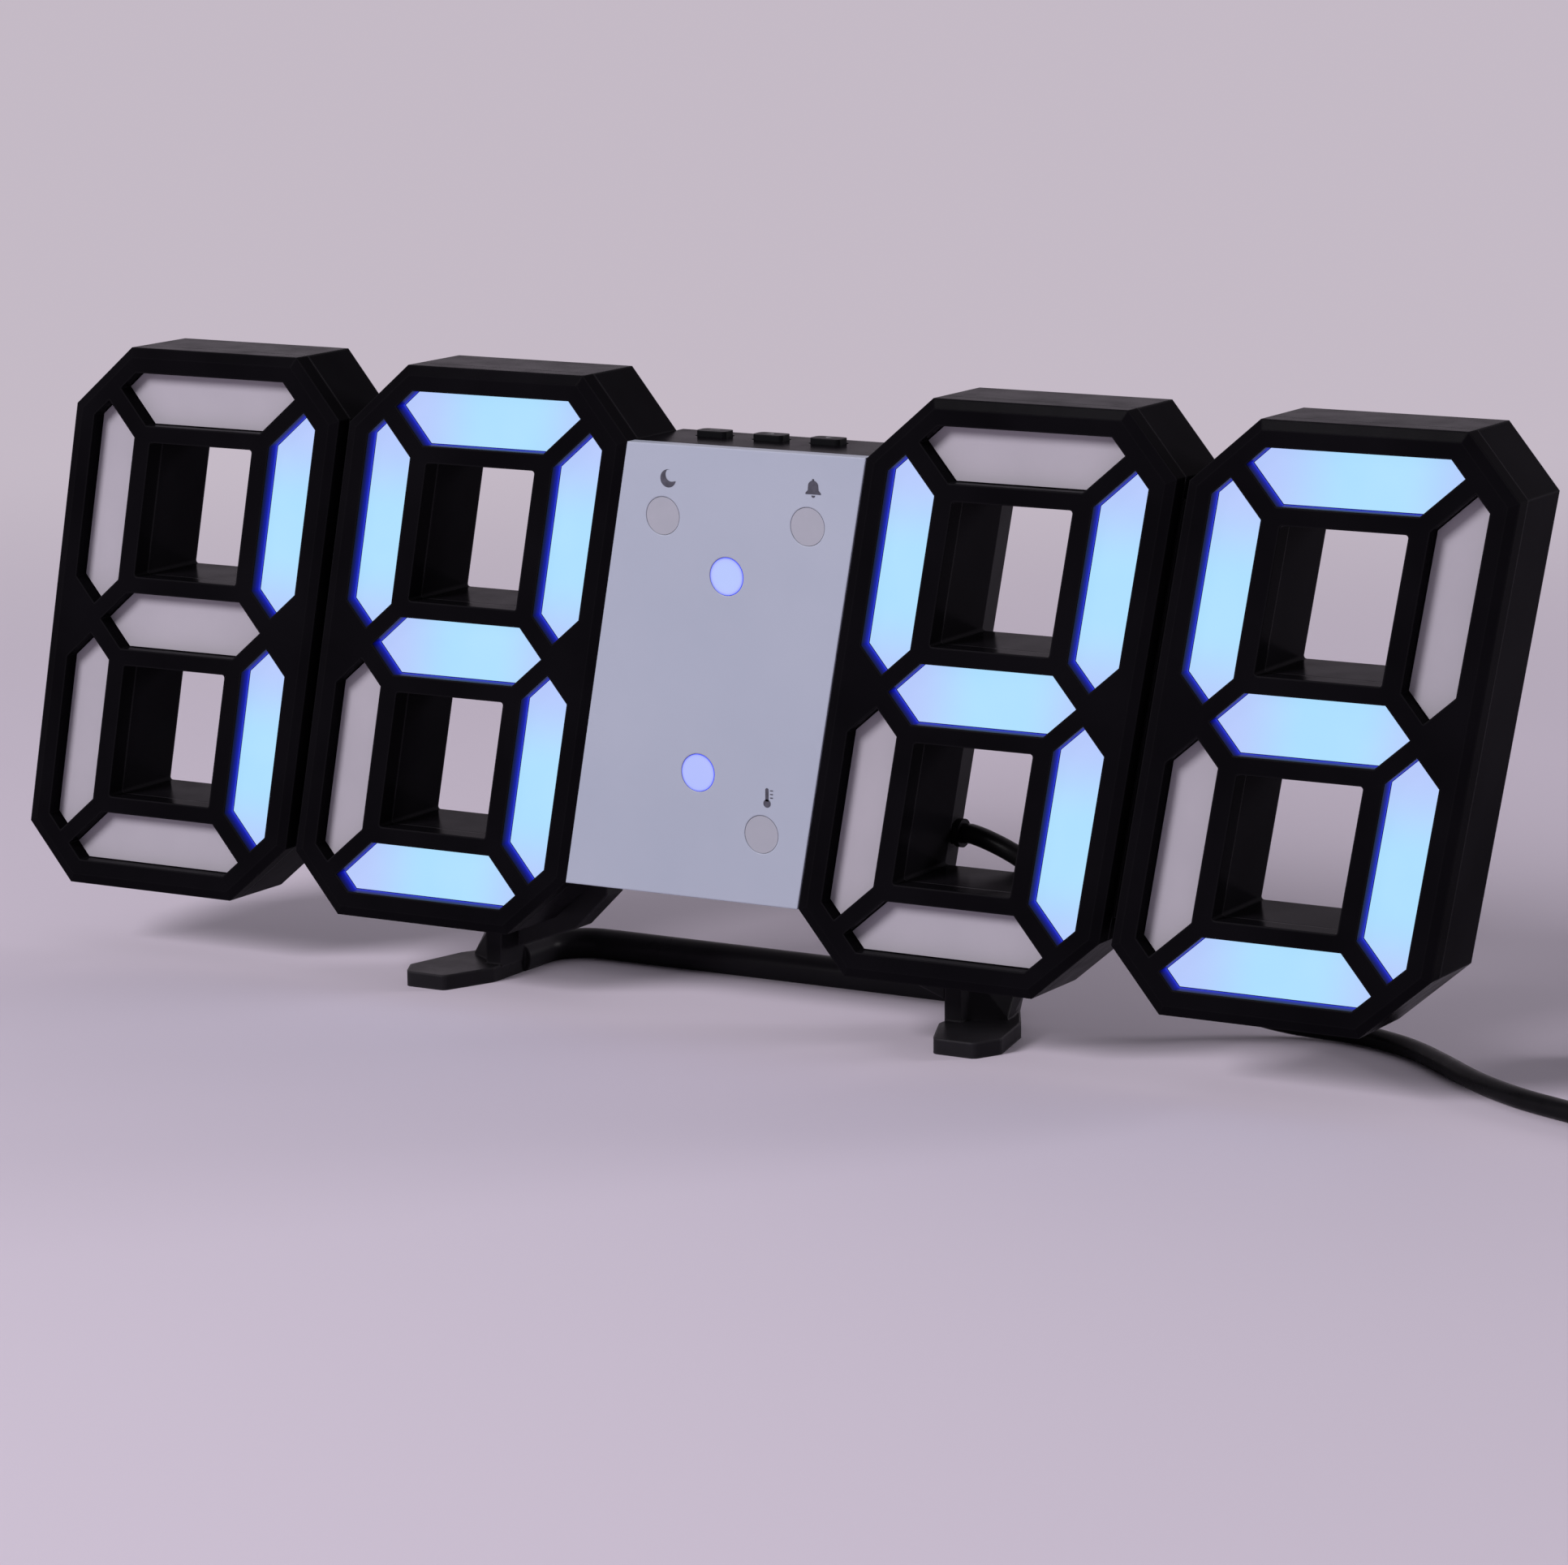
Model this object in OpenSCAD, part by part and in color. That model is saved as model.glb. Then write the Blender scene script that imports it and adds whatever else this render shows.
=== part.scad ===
// Three-dimensional LED wall clock: four hollow leaning digits on a folding stand, with a fixed power lead.
// Millimetres. The front looks along -Y, up is +Z and the floor is z = 0.

/* [Digits] */
// Height of a digit moulding
digit_h = 80; // [70:1:100]
// Width of a digit moulding, before it leans
digit_w = 46; // [42:0.5:56]
// Corner cut of a digit, along each edge
digit_chamfer = 8.6; // [7:0.1:11]
// Lean of the digits to the right, in degrees
lean_deg = 10; // [6:1:12]
// Groove between the two digits of a pair
pair_gap = 1.8; // [1.2:0.1:3]
// Width of the centre block between the pairs
centre_w = 37.6; // [34:0.2:46]
// Depth of a digit, front face to back face
body_d = 15.2; // [14.8:0.1:20]
// Thickness of the front frame
frame_t = 3.2; // [2.8:0.1:3.6]
// Thickness of the tray walls
wall = 1.6; // [1.2:0.1:1.8]
// Width of the bevel around the front face
edge_bevel = 1.4; // [0.8:0.1:2]
// Depth of the bevel around the front face
edge_bevel_d = 0.5; // [0.3:0.1:0.9]
// Bevel around the back face
rear_bevel = 1.8; // [1:0.1:2.2]

/* [Segments] */
// Border between the outline and the segments
border = 3.6; // [3.2:0.1:4.4]
// Width of a segment
stroke = 7.6; // [6.6:0.1:8.2]
// Width of the middle segment
mid_stroke = 8.4; // [7.4:0.1:9]
// Bar left between two segments
mitre_gap = 2.55; // [2.3:0.05:3]
// How far the lens faces lie behind the front face
lens_recess = 2.3; // [1.6:0.1:2.5]
// Clearance around a lens in its opening
lens_clear = 0.12; // [0.08:0.02:0.2]
// Flange of a lens behind the frame
lens_flange = 0.7; // [0.5:0.05:0.8]
// Thickness of that flange
flange_t = 1.2; // [1:0.1:1.4]

/* [Windows] */
// Rim left between a window and the upright segments
window_side_rim = 2.8; // [2.6:0.1:3.4]
// Rim left between a window and the level segments
window_top_rim = 2.4; // [2.3:0.1:3]
// Corner radius of a window
window_r = 0.4; // [0.3:0.1:1.6]
// Thickness of the window's tunnel wall
tunnel_wall = 1.3; // [1:0.1:1.4]

/* [Centre block] */
// Thickness of the centre panel
panel_t = 2; // [1.6:0.1:2.4]
// How far the panel lies behind the digit fronts
panel_back = 0.3; // [0:0.1:1]
// Clearance around the panel
panel_clear = 0.1; // [0.05:0.05:0.2]
// Thickness of the centre block's walls
centre_wall = 1.8; // [1.6:0.1:2.2]
// Radius of the round lenses
dot_r = 2.6; // [2:0.1:3]
// Radial clearance around a round lens
dot_clear = 0.06; // [0.04:0.02:0.1]
// Height of the colon's dots above and below the middle
colon_v = 13.8; // [10:0.2:15]
// Indicators, to the side of the middle
mark_u = 11.4; // [9:0.2:12]
// Indicators, above and below the middle
mark_v = 21.5; // [20:0.2:22]

/* [Buttons] */
// Width of a button
button_w = 4.8; // [4:0.1:6.6]
// Length of a button, front to back
button_l = 2.8; // [2.4:0.1:4.2]
// Distance between buttons
button_pitch = 9; // [8.8:0.1:9.6]
// Sideways shift of the row from the block's middle
button_shift = -2; // [-3:0.5:1]
// Depth of the row's middle behind the front face
button_d = 10.8; // [10.6:0.1:11]
// How far a button stands out
button_proud = 0.8; // [0.7:0.1:1.4]
// Travel of a button
button_travel = 0.5; // [0.3:0.05:0.6]
// Clearance around a button
button_clear = 0.2; // [0.15:0.05:0.3]

/* [Rear cover] */
// How far the hump stands out behind the digits
hump_d = 5.4; // [4.6:0.1:5.6]
// Bevel around the hump's back
hump_bevel = 1.8; // [1:0.1:2]
// Radius of the hanging hole's round end
hang_r = 4.2; // [3.6:0.1:4.6]
// Half width of the hanging slot
hang_slot_r = 2; // [1.6:0.1:2.2]
// Length of the slot above the round end
hang_slot = 9; // [7:0.5:10]
// Height of the round end above the middle
hang_v = 12; // [8:0.5:14]
// Room around a screw's head in the pocket behind the hole
hang_room = 0.6; // [0.4:0.1:1]
// Wall of that pocket
hang_wall = 0.8; // [0.6:0.1:1]
// Width of a guide cheek beside a stand leg
guide_w = 15.2; // [12:0.2:17]
// Corner cut of a guide cheek
guide_cut = 5.4; // [4:0.2:6]
// How far a guide cheek reaches below the digits
guide_drop = 1.8; // [1:0.1:2.4]
// How much lower a guide cheek is at the leg
guide_fall = 3.6; // [2:0.1:4]
// Bevel around a guide cheek's back
guide_bevel = 1.2; // [0.6:0.1:1.6]

/* [Stand] */
// Room under the digits
foot_room = 10; // [9:0.5:14]
// Half distance between the hinge ears
ear_u = 37.6; // [36:0.2:39]
// Thickness of an ear
ear_t = 2.6; // [2:0.1:3]
// Radius of an ear's round end
ear_r = 2.4; // [2:0.1:2.6]
// Gap around an ear in its slot
ear_gap = 0.3; // [0.3:0.05:0.5]
// Hinge pin radius
pin_r = 1; // [0.8:0.05:1.1]
// Running clearance of the pin in an ear
pin_run = 0.06; // [0.03:0.01:0.1]
// Hinge pin length
pin_l = 7; // [6.6:0.2:8]
// Distance of the hinge from the digits' back
hinge_in = 2.6; // [2.2:0.1:2.8]
// Height of the hinge above the digits' underside
hinge_up = 2.7; // [2.7:0.1:3]
// Radius of the stand's rod
bar_r = 2.3; // [2:0.1:2.4]
// Height of the rod's middle
bar_h = 1.9; // [1.7:0.1:1.95]
// Depth of the crossbar behind the front face
bar_d = 32.5; // [30:0.5:36]
// Bend radius of the rod
bend_r = 7; // [5:0.5:8]
// Thickness of the toes
toe_t = 2.2; // [1.8:0.1:2.6]
// How far an ear's plate runs back from the hinge
plate_l = 11.4; // [10:0.2:13]
// Gap between an ear's plate and the digits' underside
plate_gap = 0.6; // [0.6:0.1:1]

/* [Power lead] */
// Diameter of the lead
cord_d = 2.8; // [2.4:0.1:2.8]
// Loops of the coil in each of its two layers
coil_turns = 4; // [3:1:4]
// Distance between loops
coil_step = 3.3; // [3.3:0.1:3.6]
// Outer radius of the coil, at the lead's middle
coil_r = 22; // [22:0.5:24]

/* [Hidden] */
$fn = 48;

// Colours
black = [0.05, 0.05, 0.06];
dark = [0.09, 0.09, 0.10];
lit = [0.69, 0.86, 1.00];
unlit = [0.66, 0.65, 0.67];
panel_grey = [0.67, 0.69, 0.75];
green = [0.10, 0.32, 0.16];
steel = [0.62, 0.63, 0.65];

// Places of the body
rod_back = bar_d + bar_r;
front_y = -rod_back / 2;
mid_z = foot_room + digit_h / 2;
back_d = body_d + hump_d;
digit_at = centre_w / 2 + digit_w / 2;
digit_pitch = digit_w + pair_gap;
digit_x = [-digit_at - digit_pitch, -digit_at, digit_at, digit_at + digit_pitch];
centre_v = digit_h / 2 - digit_chamfer;
k = tan(lean_deg);

// Segment lines, from the digit's middle
ring_u = digit_w / 2 - border;
ring_v = digit_h / 2 - border;
in_u = ring_u - stroke;
in_v = ring_v - stroke;
mid_v = mid_stroke / 2;
mid_u = (in_u + ring_u) / 2;
cut = digit_w / 2 + digit_h / 2 - digit_chamfer - border * sqrt(2);
half_gap = mitre_gap / sqrt(2);

// Window lines
win_u = in_u - window_side_rim;
win_lo = mid_v + window_top_rim;
win_hi = in_v - window_top_rim;

// Fixings
screw_r = 1.1;
screw_clear = 0.06;
head_r = 2;
head_h = 1.4;
head_room = 0.2;
boss_r = 2.2;
boss_u = digit_w / 2 - 4.2;
sleeve_r = 3.2;
board_t = 1.2;
board_d = frame_t + flange_t + 2.2;
board_gap = 0.6;
seat_d = board_d + board_t;
head_d = seat_d + 2.6;
led_h = 0.9;
cover_u = digit_at - (digit_w / 2 - 7);
cover_v = 15;
cover_boss_r = 2.6;
cover_head_d = body_d + 1.6;
screw_l = 6;

// Centre block
panel_d = panel_back + panel_t;
main_d = board_d + 0.4;
main_t = 1.6;
main_back = main_d + main_t;
main_u = centre_w / 2 - centre_wall - 0.8;
main_v = centre_v - 4.4;
rail = 1.6;
dot_flange = 0.7;
dot_flange_t = 0.8;
colon_spots = [[0, colon_v], [0, -colon_v]];
mark_spots = [[-mark_u, mark_v], [mark_u, mark_v], [mark_u, -mark_v]];
key_lip = 0.7;
key_lip_t = 0.9;
key_play = 0.05;
key_under = centre_v - centre_wall - key_play - key_lip_t;
key_x = centre_v * k + button_shift;
plunger_r = 1;
plunger_v = key_under - button_travel - 0.1;
switch_v = plunger_v - 1;
switch_h = 3.4;
switch_w = 6;
switch_d = 2 * (button_d - main_back);

// Hump
hump_u = digit_at - win_u - 0.2;
hump_v = centre_v - 1;
hump_wall = 1.6;
buzzer_at = [-9, -15];
buzzer_r = 4.5;
buzzer_l = 4.2;
cell_at = [5, -3];
cell_r = 6.25;
cell_t = 2;

// Stand
stand_x = -digit_h / 2 * k;
hinge_h = foot_room + hinge_up;
pin_fit = 0.02;
block_u = pin_l / 2 + 0.3;
block_wall = 1.5;
hinge_d = body_d - hinge_in;
slot_d = hinge_d - ear_r - ear_gap;
slot_h = hinge_up + ear_r + ear_gap;
plate_top = foot_room - plate_gap;
guide_out = ear_u - bar_r - 0.4;
guide_in = guide_out - guide_w;
guide_low = -digit_h / 2 - guide_drop;
guide_high = hump_wall / 2 - hump_v;

// Lead: the free stretch drops from the grommet to the floor and runs over it to the coil
cord_r = cord_d / 2;
grommet_r = cord_r + 0.6;
neck_r = cord_r + 0.2;
grommet_t = 0.8;
exit_d = body_d + grommet_r + 0.05;
exit_v = 8.2 - hump_v;
exit_h = mid_z + exit_v;
wall_x = hump_u + exit_v * k;
wall_slip = grommet_r * k + 0.1;
grommet_in = wall_x - hump_wall - wall_slip;
grommet_out = wall_x + wall_slip;
grommet_x = grommet_out + grommet_t;
grommet_flat = back_d - hump_wall - 0.05 - exit_d;
tie_t = 0.6;
tie_w = 5;
lift = tie_t + 0.1;
coil_z = lift + cord_r;
coil_x = 180;
coil_d = 20.5;
lead_in = 3;
cord_drop = [
  [0, 0, 1], [1.2, 0, 1], [3.8, 0, 0.975], [7.4, 0, 0.924], [11.4, 0.8, 0.833], [16.4, 2.6, 0.682],
  [21.4, 5.2, 0.508], [26.4, 8.6, 0.333], [31.4, 12.2, 0.182], [36.4, 15.6, 0.068], [41.4, 17.8, 0.015],
  [47.4, 18.6, 0], [53.4, 17.6, 0]
];
cord_floor = [
  [91, 31.2, 0], [98, 25.6, 0], [104, 20.2, 0], [109, 16.4, 0], [115, 12.8, 0], [122, 9.8, 0],
  [130, 7, 0], [138, 4.4, 0], [146, 2.2, 0.15], [154, 0.4, 0.3], [162, -0.8, 0.6], [170, -1.4, 0.85]
];
cord_route = [
  for (p = cord_drop) [grommet_x + p[0], exit_d + p[1], cord_r + (exit_h - cord_r) * p[2]],
  for (p = cord_floor) [p[0], p[1], cord_r + lift * p[2]],
  [coil_x - 2 * lead_in, coil_d - coil_r, coil_z], [coil_x - lead_in, coil_d - coil_r, coil_z]
];

// Coil: in on the floor layer, up a layer where the spiral turns back, out again and away to the plug
coil_mid = coil_turns + 0.25;
coil_least = coil_r - coil_step * coil_mid;
coil_rings = 24;
coil_last = round(2 * coil_mid * coil_rings);
tail_x = [3, 6, 10, 14, 18, 21, 24];
plug_h = 8;
plug_z = plug_h / 2;
plug_x = coil_x - 24;
plug_d = coil_d + coil_r;
plug_l = 20;
plug_w = 15.6;
plug_relief = 8;
shell_l = 12;
shell_w = 12;
shell_h = 4.5;
shell_t = 0.4;

// Outline helpers: points are u and v, and lean() sets them over
function lean(p) = [p[0] + p[1] * k, p[1]];
function leaned(pts) = [for (p = pts) lean(p)];
function octagon(w, h, c) = [
  [-w / 2 + c, -h / 2], [w / 2 - c, -h / 2], [w / 2, -h / 2 + c], [w / 2, h / 2 - c],
  [w / 2 - c, h / 2], [-w / 2 + c, h / 2], [-w / 2, h / 2 - c], [-w / 2, -h / 2 + c]
];
function outline(d) = leaned(octagon(digit_w - 2 * d, digit_h - 2 * d, digit_chamfer - d * (2 - sqrt(2))));
function box2(u, v) = [[-u, -v], [u, -v], [u, v], [-u, v]];
function unit(v) = v / norm(v);
function fillet(a, b, c, r, n) =
  let (p = unit(a - b), q = unit(c - b), half = acos(p * q) / 2, m = b + unit(p + q) * r / sin(half))
  let (s = b + p * r / tan(half) - m, e = b + q * r / tan(half) - m, a0 = atan2(s[1], s[0]))
  let (turn = (atan2(e[1], e[0]) - a0 + 540) % 360 - 180)
  [for (i = [0:n]) m + r * [cos(a0 + turn * i / n), sin(a0 + turn * i / n)]];
function rounded(pts, r, n = 4) =
  let (c = len(pts))
  [for (i = [0:c - 1]) each fillet(pts[(i + c - 1) % c], pts[i], pts[(i + 1) % c], r, n)];
function window(side, d) =
  let (lo = win_lo - d, hi = win_hi + d, u = win_u + d)
  leaned(side > 0 ? [[-u, lo], [u, lo], [u, hi], [-u, hi]] : [[-u, -hi], [u, -hi], [u, -lo], [-u, -lo]]);

// Segment shapes, grown by d
function flip_u(pts) = [for (p = pts) [-p[0], p[1]]];
function flip_v(pts) = [for (p = pts) [p[0], -p[1]]];
function seg_a(d) =
  let (m = in_v - in_u + half_gap - d * sqrt(2), s = cut + d * sqrt(2), lo = in_v - d, hi = ring_v + d)
  [
    [m - lo, lo], [lo - m, lo], [(s - m) / 2, (s + m) / 2], [s - hi, hi],
    [hi - s, hi], [(m - s) / 2, (s + m) / 2]
  ];
function seg_b(d) =
  let (n = in_v - in_u - half_gap + d * sqrt(2), s = cut + d * sqrt(2), lo = in_u - d, hi = ring_u + d)
  let (m = in_u + mid_v + half_gap - d * sqrt(2))
  [
    [lo, m - lo], [mid_u, m - mid_u], [hi, m - 2 * mid_u + hi], [hi, s - hi],
    [(s - n) / 2, (s + n) / 2], [lo, lo + n]
  ];
function seg_g(d) =
  let (m = in_u + mid_v - half_gap + d * sqrt(2), v = mid_v + d)
  [[-m, 0], [v - m, -v], [m - v, -v], [m, 0], [m - v, v], [v - m, v]];
function seg(s, d) = leaned(
  s == "a" ? seg_a(d) : s == "b" ? seg_b(d) : s == "c" ? flip_v(seg_b(d)) : s == "d" ? flip_v(seg_a(d))
  : s == "e" ? flip_u(flip_v(seg_b(d))) : s == "f" ? flip_u(seg_b(d)) : seg_g(d)
);
letters = ["a", "b", "c", "d", "e", "f", "g"];
row_v = (in_v + ring_v) / 2;
led_spots = [
  [-5, row_v], [5, row_v], [-5, -row_v], [5, -row_v], [-5, 0], [5, 0],
  for (u = [-mid_u, mid_u]) for (v = [-22, -12, 12, 22]) [u, v]
];

// Solids from outlines: a slab runs from depth d0 to d1
module slab(pts, d0, d1) {
  translate([0, d1, 0]) rotate([90, 0, 0]) linear_extrude(d1 - d0) polygon(pts);
}
module rod_y(spot, r, d0, d1) {
  translate([spot[0], d1, spot[1]]) rotate([90, 0, 0]) cylinder(h = d1 - d0, r = r);
}
module rod_x(r, x0, x1) {
  translate([x0, 0, 0]) rotate([0, 90, 0]) cylinder(h = x1 - x0, r = r);
}
module at_body() {
  translate([0, front_y, mid_z]) children();
}
module at_digit(i) {
  translate([digit_x[i - 1], front_y, mid_z]) children();
}
module at_floor() {
  translate([0, front_y, 0]) children();
}

// Front frame of a digit: bevelled plate with segment openings, windows and two screw bosses
module digit_frame() {
  difference() {
    union() {
      hull() {
        slab(outline(edge_bevel), 0, frame_t);
        slab(outline(0), edge_bevel_d, frame_t);
      }
      for (s = [-1, 1]) rod_y([s * boss_u, 0], boss_r, frame_t - 1, seat_d);
    }
    for (s = letters) slab(seg(s, 0), -1, frame_t + 1);
    for (s = [-1, 1]) slab(rounded(window(s, 0), window_r), -1, frame_t + 1);
    for (s = [-1, 1]) rod_y([s * boss_u, 0], screw_r + screw_clear, frame_t + 0.8, seat_d + 1);
  }
}

// Rear tray of a digit: outer wall, back wall, window tunnels and screw sleeves
module tray() {
  hull() {
    slab(outline(0), frame_t, body_d - rear_bevel);
    slab(outline(rear_bevel), frame_t, body_d);
  }
}
module tray_hollow() {
  difference() {
    slab(outline(wall), frame_t - 1, body_d - wall);
    for (s = [-1, 1]) slab(window(s, tunnel_wall), frame_t - 2, body_d);
    for (s = [-1, 1]) rod_y([s * boss_u, 0], sleeve_r, seat_d, body_d);
  }
}
module digit_back() {
  difference() {
    tray();
    tray_hollow();
    for (s = [-1, 1]) slab(rounded(window(s, 0), window_r), frame_t - 1, body_d + 1);
    for (s = [-1, 1]) rod_y([s * boss_u, 0], screw_r + 0.2, seat_d - 1, body_d + 1);
    for (s = [-1, 1]) rod_y([s * boss_u, 0], head_r + head_room, head_d, body_d + 1);
  }
}
module bridge(side) {
  lo = digit_w / 2 - wall / 2;
  hi = digit_w / 2 + pair_gap;
  v = centre_v - 3;
  pts = [[side * lo, -v], [side * hi, -v], [side * hi, v], [side * lo, v]];
  slab(leaned(pts), frame_t + 0.4, body_d - 2);
}
module hinge_digit(i, side) {
  x = stand_x + side * ear_u - digit_x[i - 1];
  u = side * (cover_u - digit_at);
  low = -digit_h / 2;
  difference() {
    union() {
      digit_back();
      translate([x - block_u, slot_d - block_wall, low + 0.8])
        cube([2 * block_u, body_d - 1.2 - slot_d + block_wall, slot_h + block_wall - 0.8]);
      for (s = [-1, 1])
        rod_y(lean([u, s * cover_v]), cover_boss_r, cover_head_d - screw_l - 1.2, body_d - wall / 2);
    }
    translate([x - ear_t / 2 - ear_gap, slot_d, low - 1])
      cube([ear_t + 2 * ear_gap, body_d, slot_h + 1]);
    translate([x, hinge_d, low + hinge_up]) rod_x(pin_r + pin_fit, -block_u - 1, block_u + 1);
    for (s = [-1, 1])
      rod_y(lean([u, s * cover_v]), screw_r + screw_clear, cover_head_d - screw_l - 0.4, body_d + 1);
  }
}
module lens(i, s) {
  at_digit(i) {
    slab(seg(s, -lens_clear), lens_recess, frame_t + 0.01);
    slab(seg(s, lens_flange), frame_t, frame_t + flange_t);
  }
}
module dot_lens(spot) {
  rod_y(lean(spot), dot_r, panel_back, panel_d + 0.2);
  rod_y(lean(spot), dot_r + dot_flange, panel_d, panel_d + dot_flange_t);
}
module key(i) {
  x = key_x + i * button_pitch;
  w = button_w / 2;
  l = button_l / 2;
  at_body() translate([x, button_d, 0]) {
    translate([0, 0, key_under]) linear_extrude(centre_v + button_proud - key_under)
      polygon(rounded(box2(w, l), 0.8));
    translate([-w - key_lip, -l - key_lip / 2, key_under])
      cube([button_w + 2 * key_lip, button_l + key_lip, key_lip_t]);
  }
}
module screw(spot, d) {
  difference() {
    union() {
      rod_y(spot, head_r, d, d + head_h);
      rod_y(spot, screw_r, d - screw_l, d + 0.2);
    }
    translate([spot[0], d + head_h, spot[1]]) {
      cube([2.2, 1.2, 0.5], center = true);
      cube([0.5, 1.2, 2.2], center = true);
    }
  }
}

// Tubes swept along a list of points
function along(p, i) = unit(p[min(i + 1, len(p) - 1)] - p[max(i - 1, 0)]);
function ring(p, i, r, n) =
  let (t = along(p, i), s = unit(cross(t, [0, 0, 1])), u = cross(s, t))
  [for (j = [0:n - 1]) p[i] + r * (cos(360 * (j + 0.5) / n) * s + sin(360 * (j + 0.5) / n) * u)];
module tube(p, r, n) {
  last = len(p) - 1;
  polyhedron(
    points = [for (i = [0:last]) each ring(p, i, r, n)],
    faces = [
      [for (j = [n - 1:-1:0]) j],
      [for (j = [0:n - 1]) last * n + j],
      for (i = [0:last - 1]) for (j = [0:n - 1]) [i * n + j, i * n + (j + 1) % n, (i + 1) * n + j],
      for (i = [0:last - 1]) for (j = [0:n - 1])
        [i * n + (j + 1) % n, (i + 1) * n + (j + 1) % n, (i + 1) * n + j]
    ]
  );
}
function ease(x) = x <= 0 ? 0 : x >= 1 ? 1 : x * x * (3 - 2 * x);
function coil_point(t) =
  let (r = coil_least + coil_step * abs(t - coil_mid), a = 360 * t - 90)
  [coil_x + r * cos(a), coil_d + r * sin(a), coil_z + coil_step * ease((t - coil_turns) * 2)];
coil_top = coil_z + coil_step;
coil_path = [
  [coil_x - lead_in, coil_d - coil_r, coil_z],
  for (i = [0:coil_last]) coil_point(i / coil_rings),
  for (x = tail_x) [coil_x - x, coil_d + coil_r, coil_top + (plug_z - coil_top) * ease((x - 6) / 14)]
];
coil_gap = min([
  for (i = [0:len(coil_path) - 1]) for (j = [i + 8:1:len(coil_path) - 1]) norm(coil_path[i] - coil_path[j])
]) - cord_d;

// Digits
module digit_frame_1() { color(black) at_digit(1) digit_frame(); }
module digit_frame_2() { color(black) at_digit(2) digit_frame(); }
module digit_frame_3() { color(black) at_digit(3) digit_frame(); }
module digit_frame_4() { color(black) at_digit(4) digit_frame(); }
module digit_back_1() {
  color(black) at_digit(1) {
    digit_back();
    bridge(1);
  }
}
module digit_back_2() { color(black) at_digit(2) hinge_digit(2, -1); }
module digit_back_3() { color(black) at_digit(3) hinge_digit(3, 1); }
module digit_back_4() {
  color(black) at_digit(4) {
    digit_back();
    bridge(-1);
  }
}

// Segment lenses, the lit ones showing 19:45
module segment_1a() { color(unlit) lens(1, "a"); }
module segment_1b() { color(lit) lens(1, "b"); }
module segment_1c() { color(lit) lens(1, "c"); }
module segment_1d() { color(unlit) lens(1, "d"); }
module segment_1e() { color(unlit) lens(1, "e"); }
module segment_1f() { color(unlit) lens(1, "f"); }
module segment_1g() { color(unlit) lens(1, "g"); }
module segment_2a() { color(lit) lens(2, "a"); }
module segment_2b() { color(lit) lens(2, "b"); }
module segment_2c() { color(lit) lens(2, "c"); }
module segment_2d() { color(lit) lens(2, "d"); }
module segment_2e() { color(unlit) lens(2, "e"); }
module segment_2f() { color(lit) lens(2, "f"); }
module segment_2g() { color(lit) lens(2, "g"); }
module segment_3a() { color(unlit) lens(3, "a"); }
module segment_3b() { color(lit) lens(3, "b"); }
module segment_3c() { color(lit) lens(3, "c"); }
module segment_3d() { color(unlit) lens(3, "d"); }
module segment_3e() { color(unlit) lens(3, "e"); }
module segment_3f() { color(lit) lens(3, "f"); }
module segment_3g() { color(lit) lens(3, "g"); }
module segment_4a() { color(lit) lens(4, "a"); }
module segment_4b() { color(unlit) lens(4, "b"); }
module segment_4c() { color(lit) lens(4, "c"); }
module segment_4d() { color(lit) lens(4, "d"); }
module segment_4e() { color(unlit) lens(4, "e"); }
module segment_4f() { color(lit) lens(4, "f"); }
module segment_4g() { color(lit) lens(4, "g"); }

// Centre block
module centre_frame() {
  inner = centre_w / 2 - centre_wall;
  hole = box2(button_w / 2 + button_clear, button_l / 2 + button_clear);
  color(black) at_body() {
    difference() {
      slab(leaned(box2(centre_w / 2, centre_v)), panel_d, body_d);
      slab(leaned(box2(inner, centre_v - centre_wall)), panel_d - 1, body_d + 1);
      for (i = [-1:1])
        translate([key_x + i * button_pitch, button_d, 0]) linear_extrude(digit_h)
          polygon(rounded(hole, 0.8 + button_clear));
    }
    for (s = [-1, 1]) {
      hi = s * (inner + centre_wall / 2);
      lo = s * (inner - rail);
      pts = [[lo, -main_v], [hi, -main_v], [hi, main_v - 4], [lo, main_v - 4]];
      slab(leaned(pts), main_back, main_back + rail);
    }
  }
}
module centre_panel() {
  color(panel_grey) at_body() difference() {
    slab(leaned(box2(centre_w / 2 - panel_clear, centre_v)), panel_back, panel_d);
    for (spot = colon_spots) rod_y(lean(spot), dot_r + dot_clear, panel_back - 1, panel_d + 1);
    for (spot = mark_spots) rod_y(lean(spot), dot_r + dot_clear, panel_back - 1, panel_d + 1);
  }
}
module colon_lenses() {
  color(lit) at_body() for (spot = colon_spots) dot_lens(spot);
}
module indicator_lenses() {
  color(unlit) at_body() for (spot = mark_spots) dot_lens(spot);
}
module set_button() { color(dark) key(-1); }
module up_button() { color(dark) key(0); }
module down_button() { color(dark) key(1); }
module button_switches() {
  color(steel) at_body() for (i = [-1:1]) translate([key_x + i * button_pitch, 0, 0]) {
    translate([-switch_w / 2, main_back, switch_v - switch_h]) cube([switch_w, switch_d, switch_h]);
    translate([0, button_d, switch_v - 0.5]) cylinder(h = plunger_v - switch_v + 0.5, r = plunger_r);
  }
}

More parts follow.
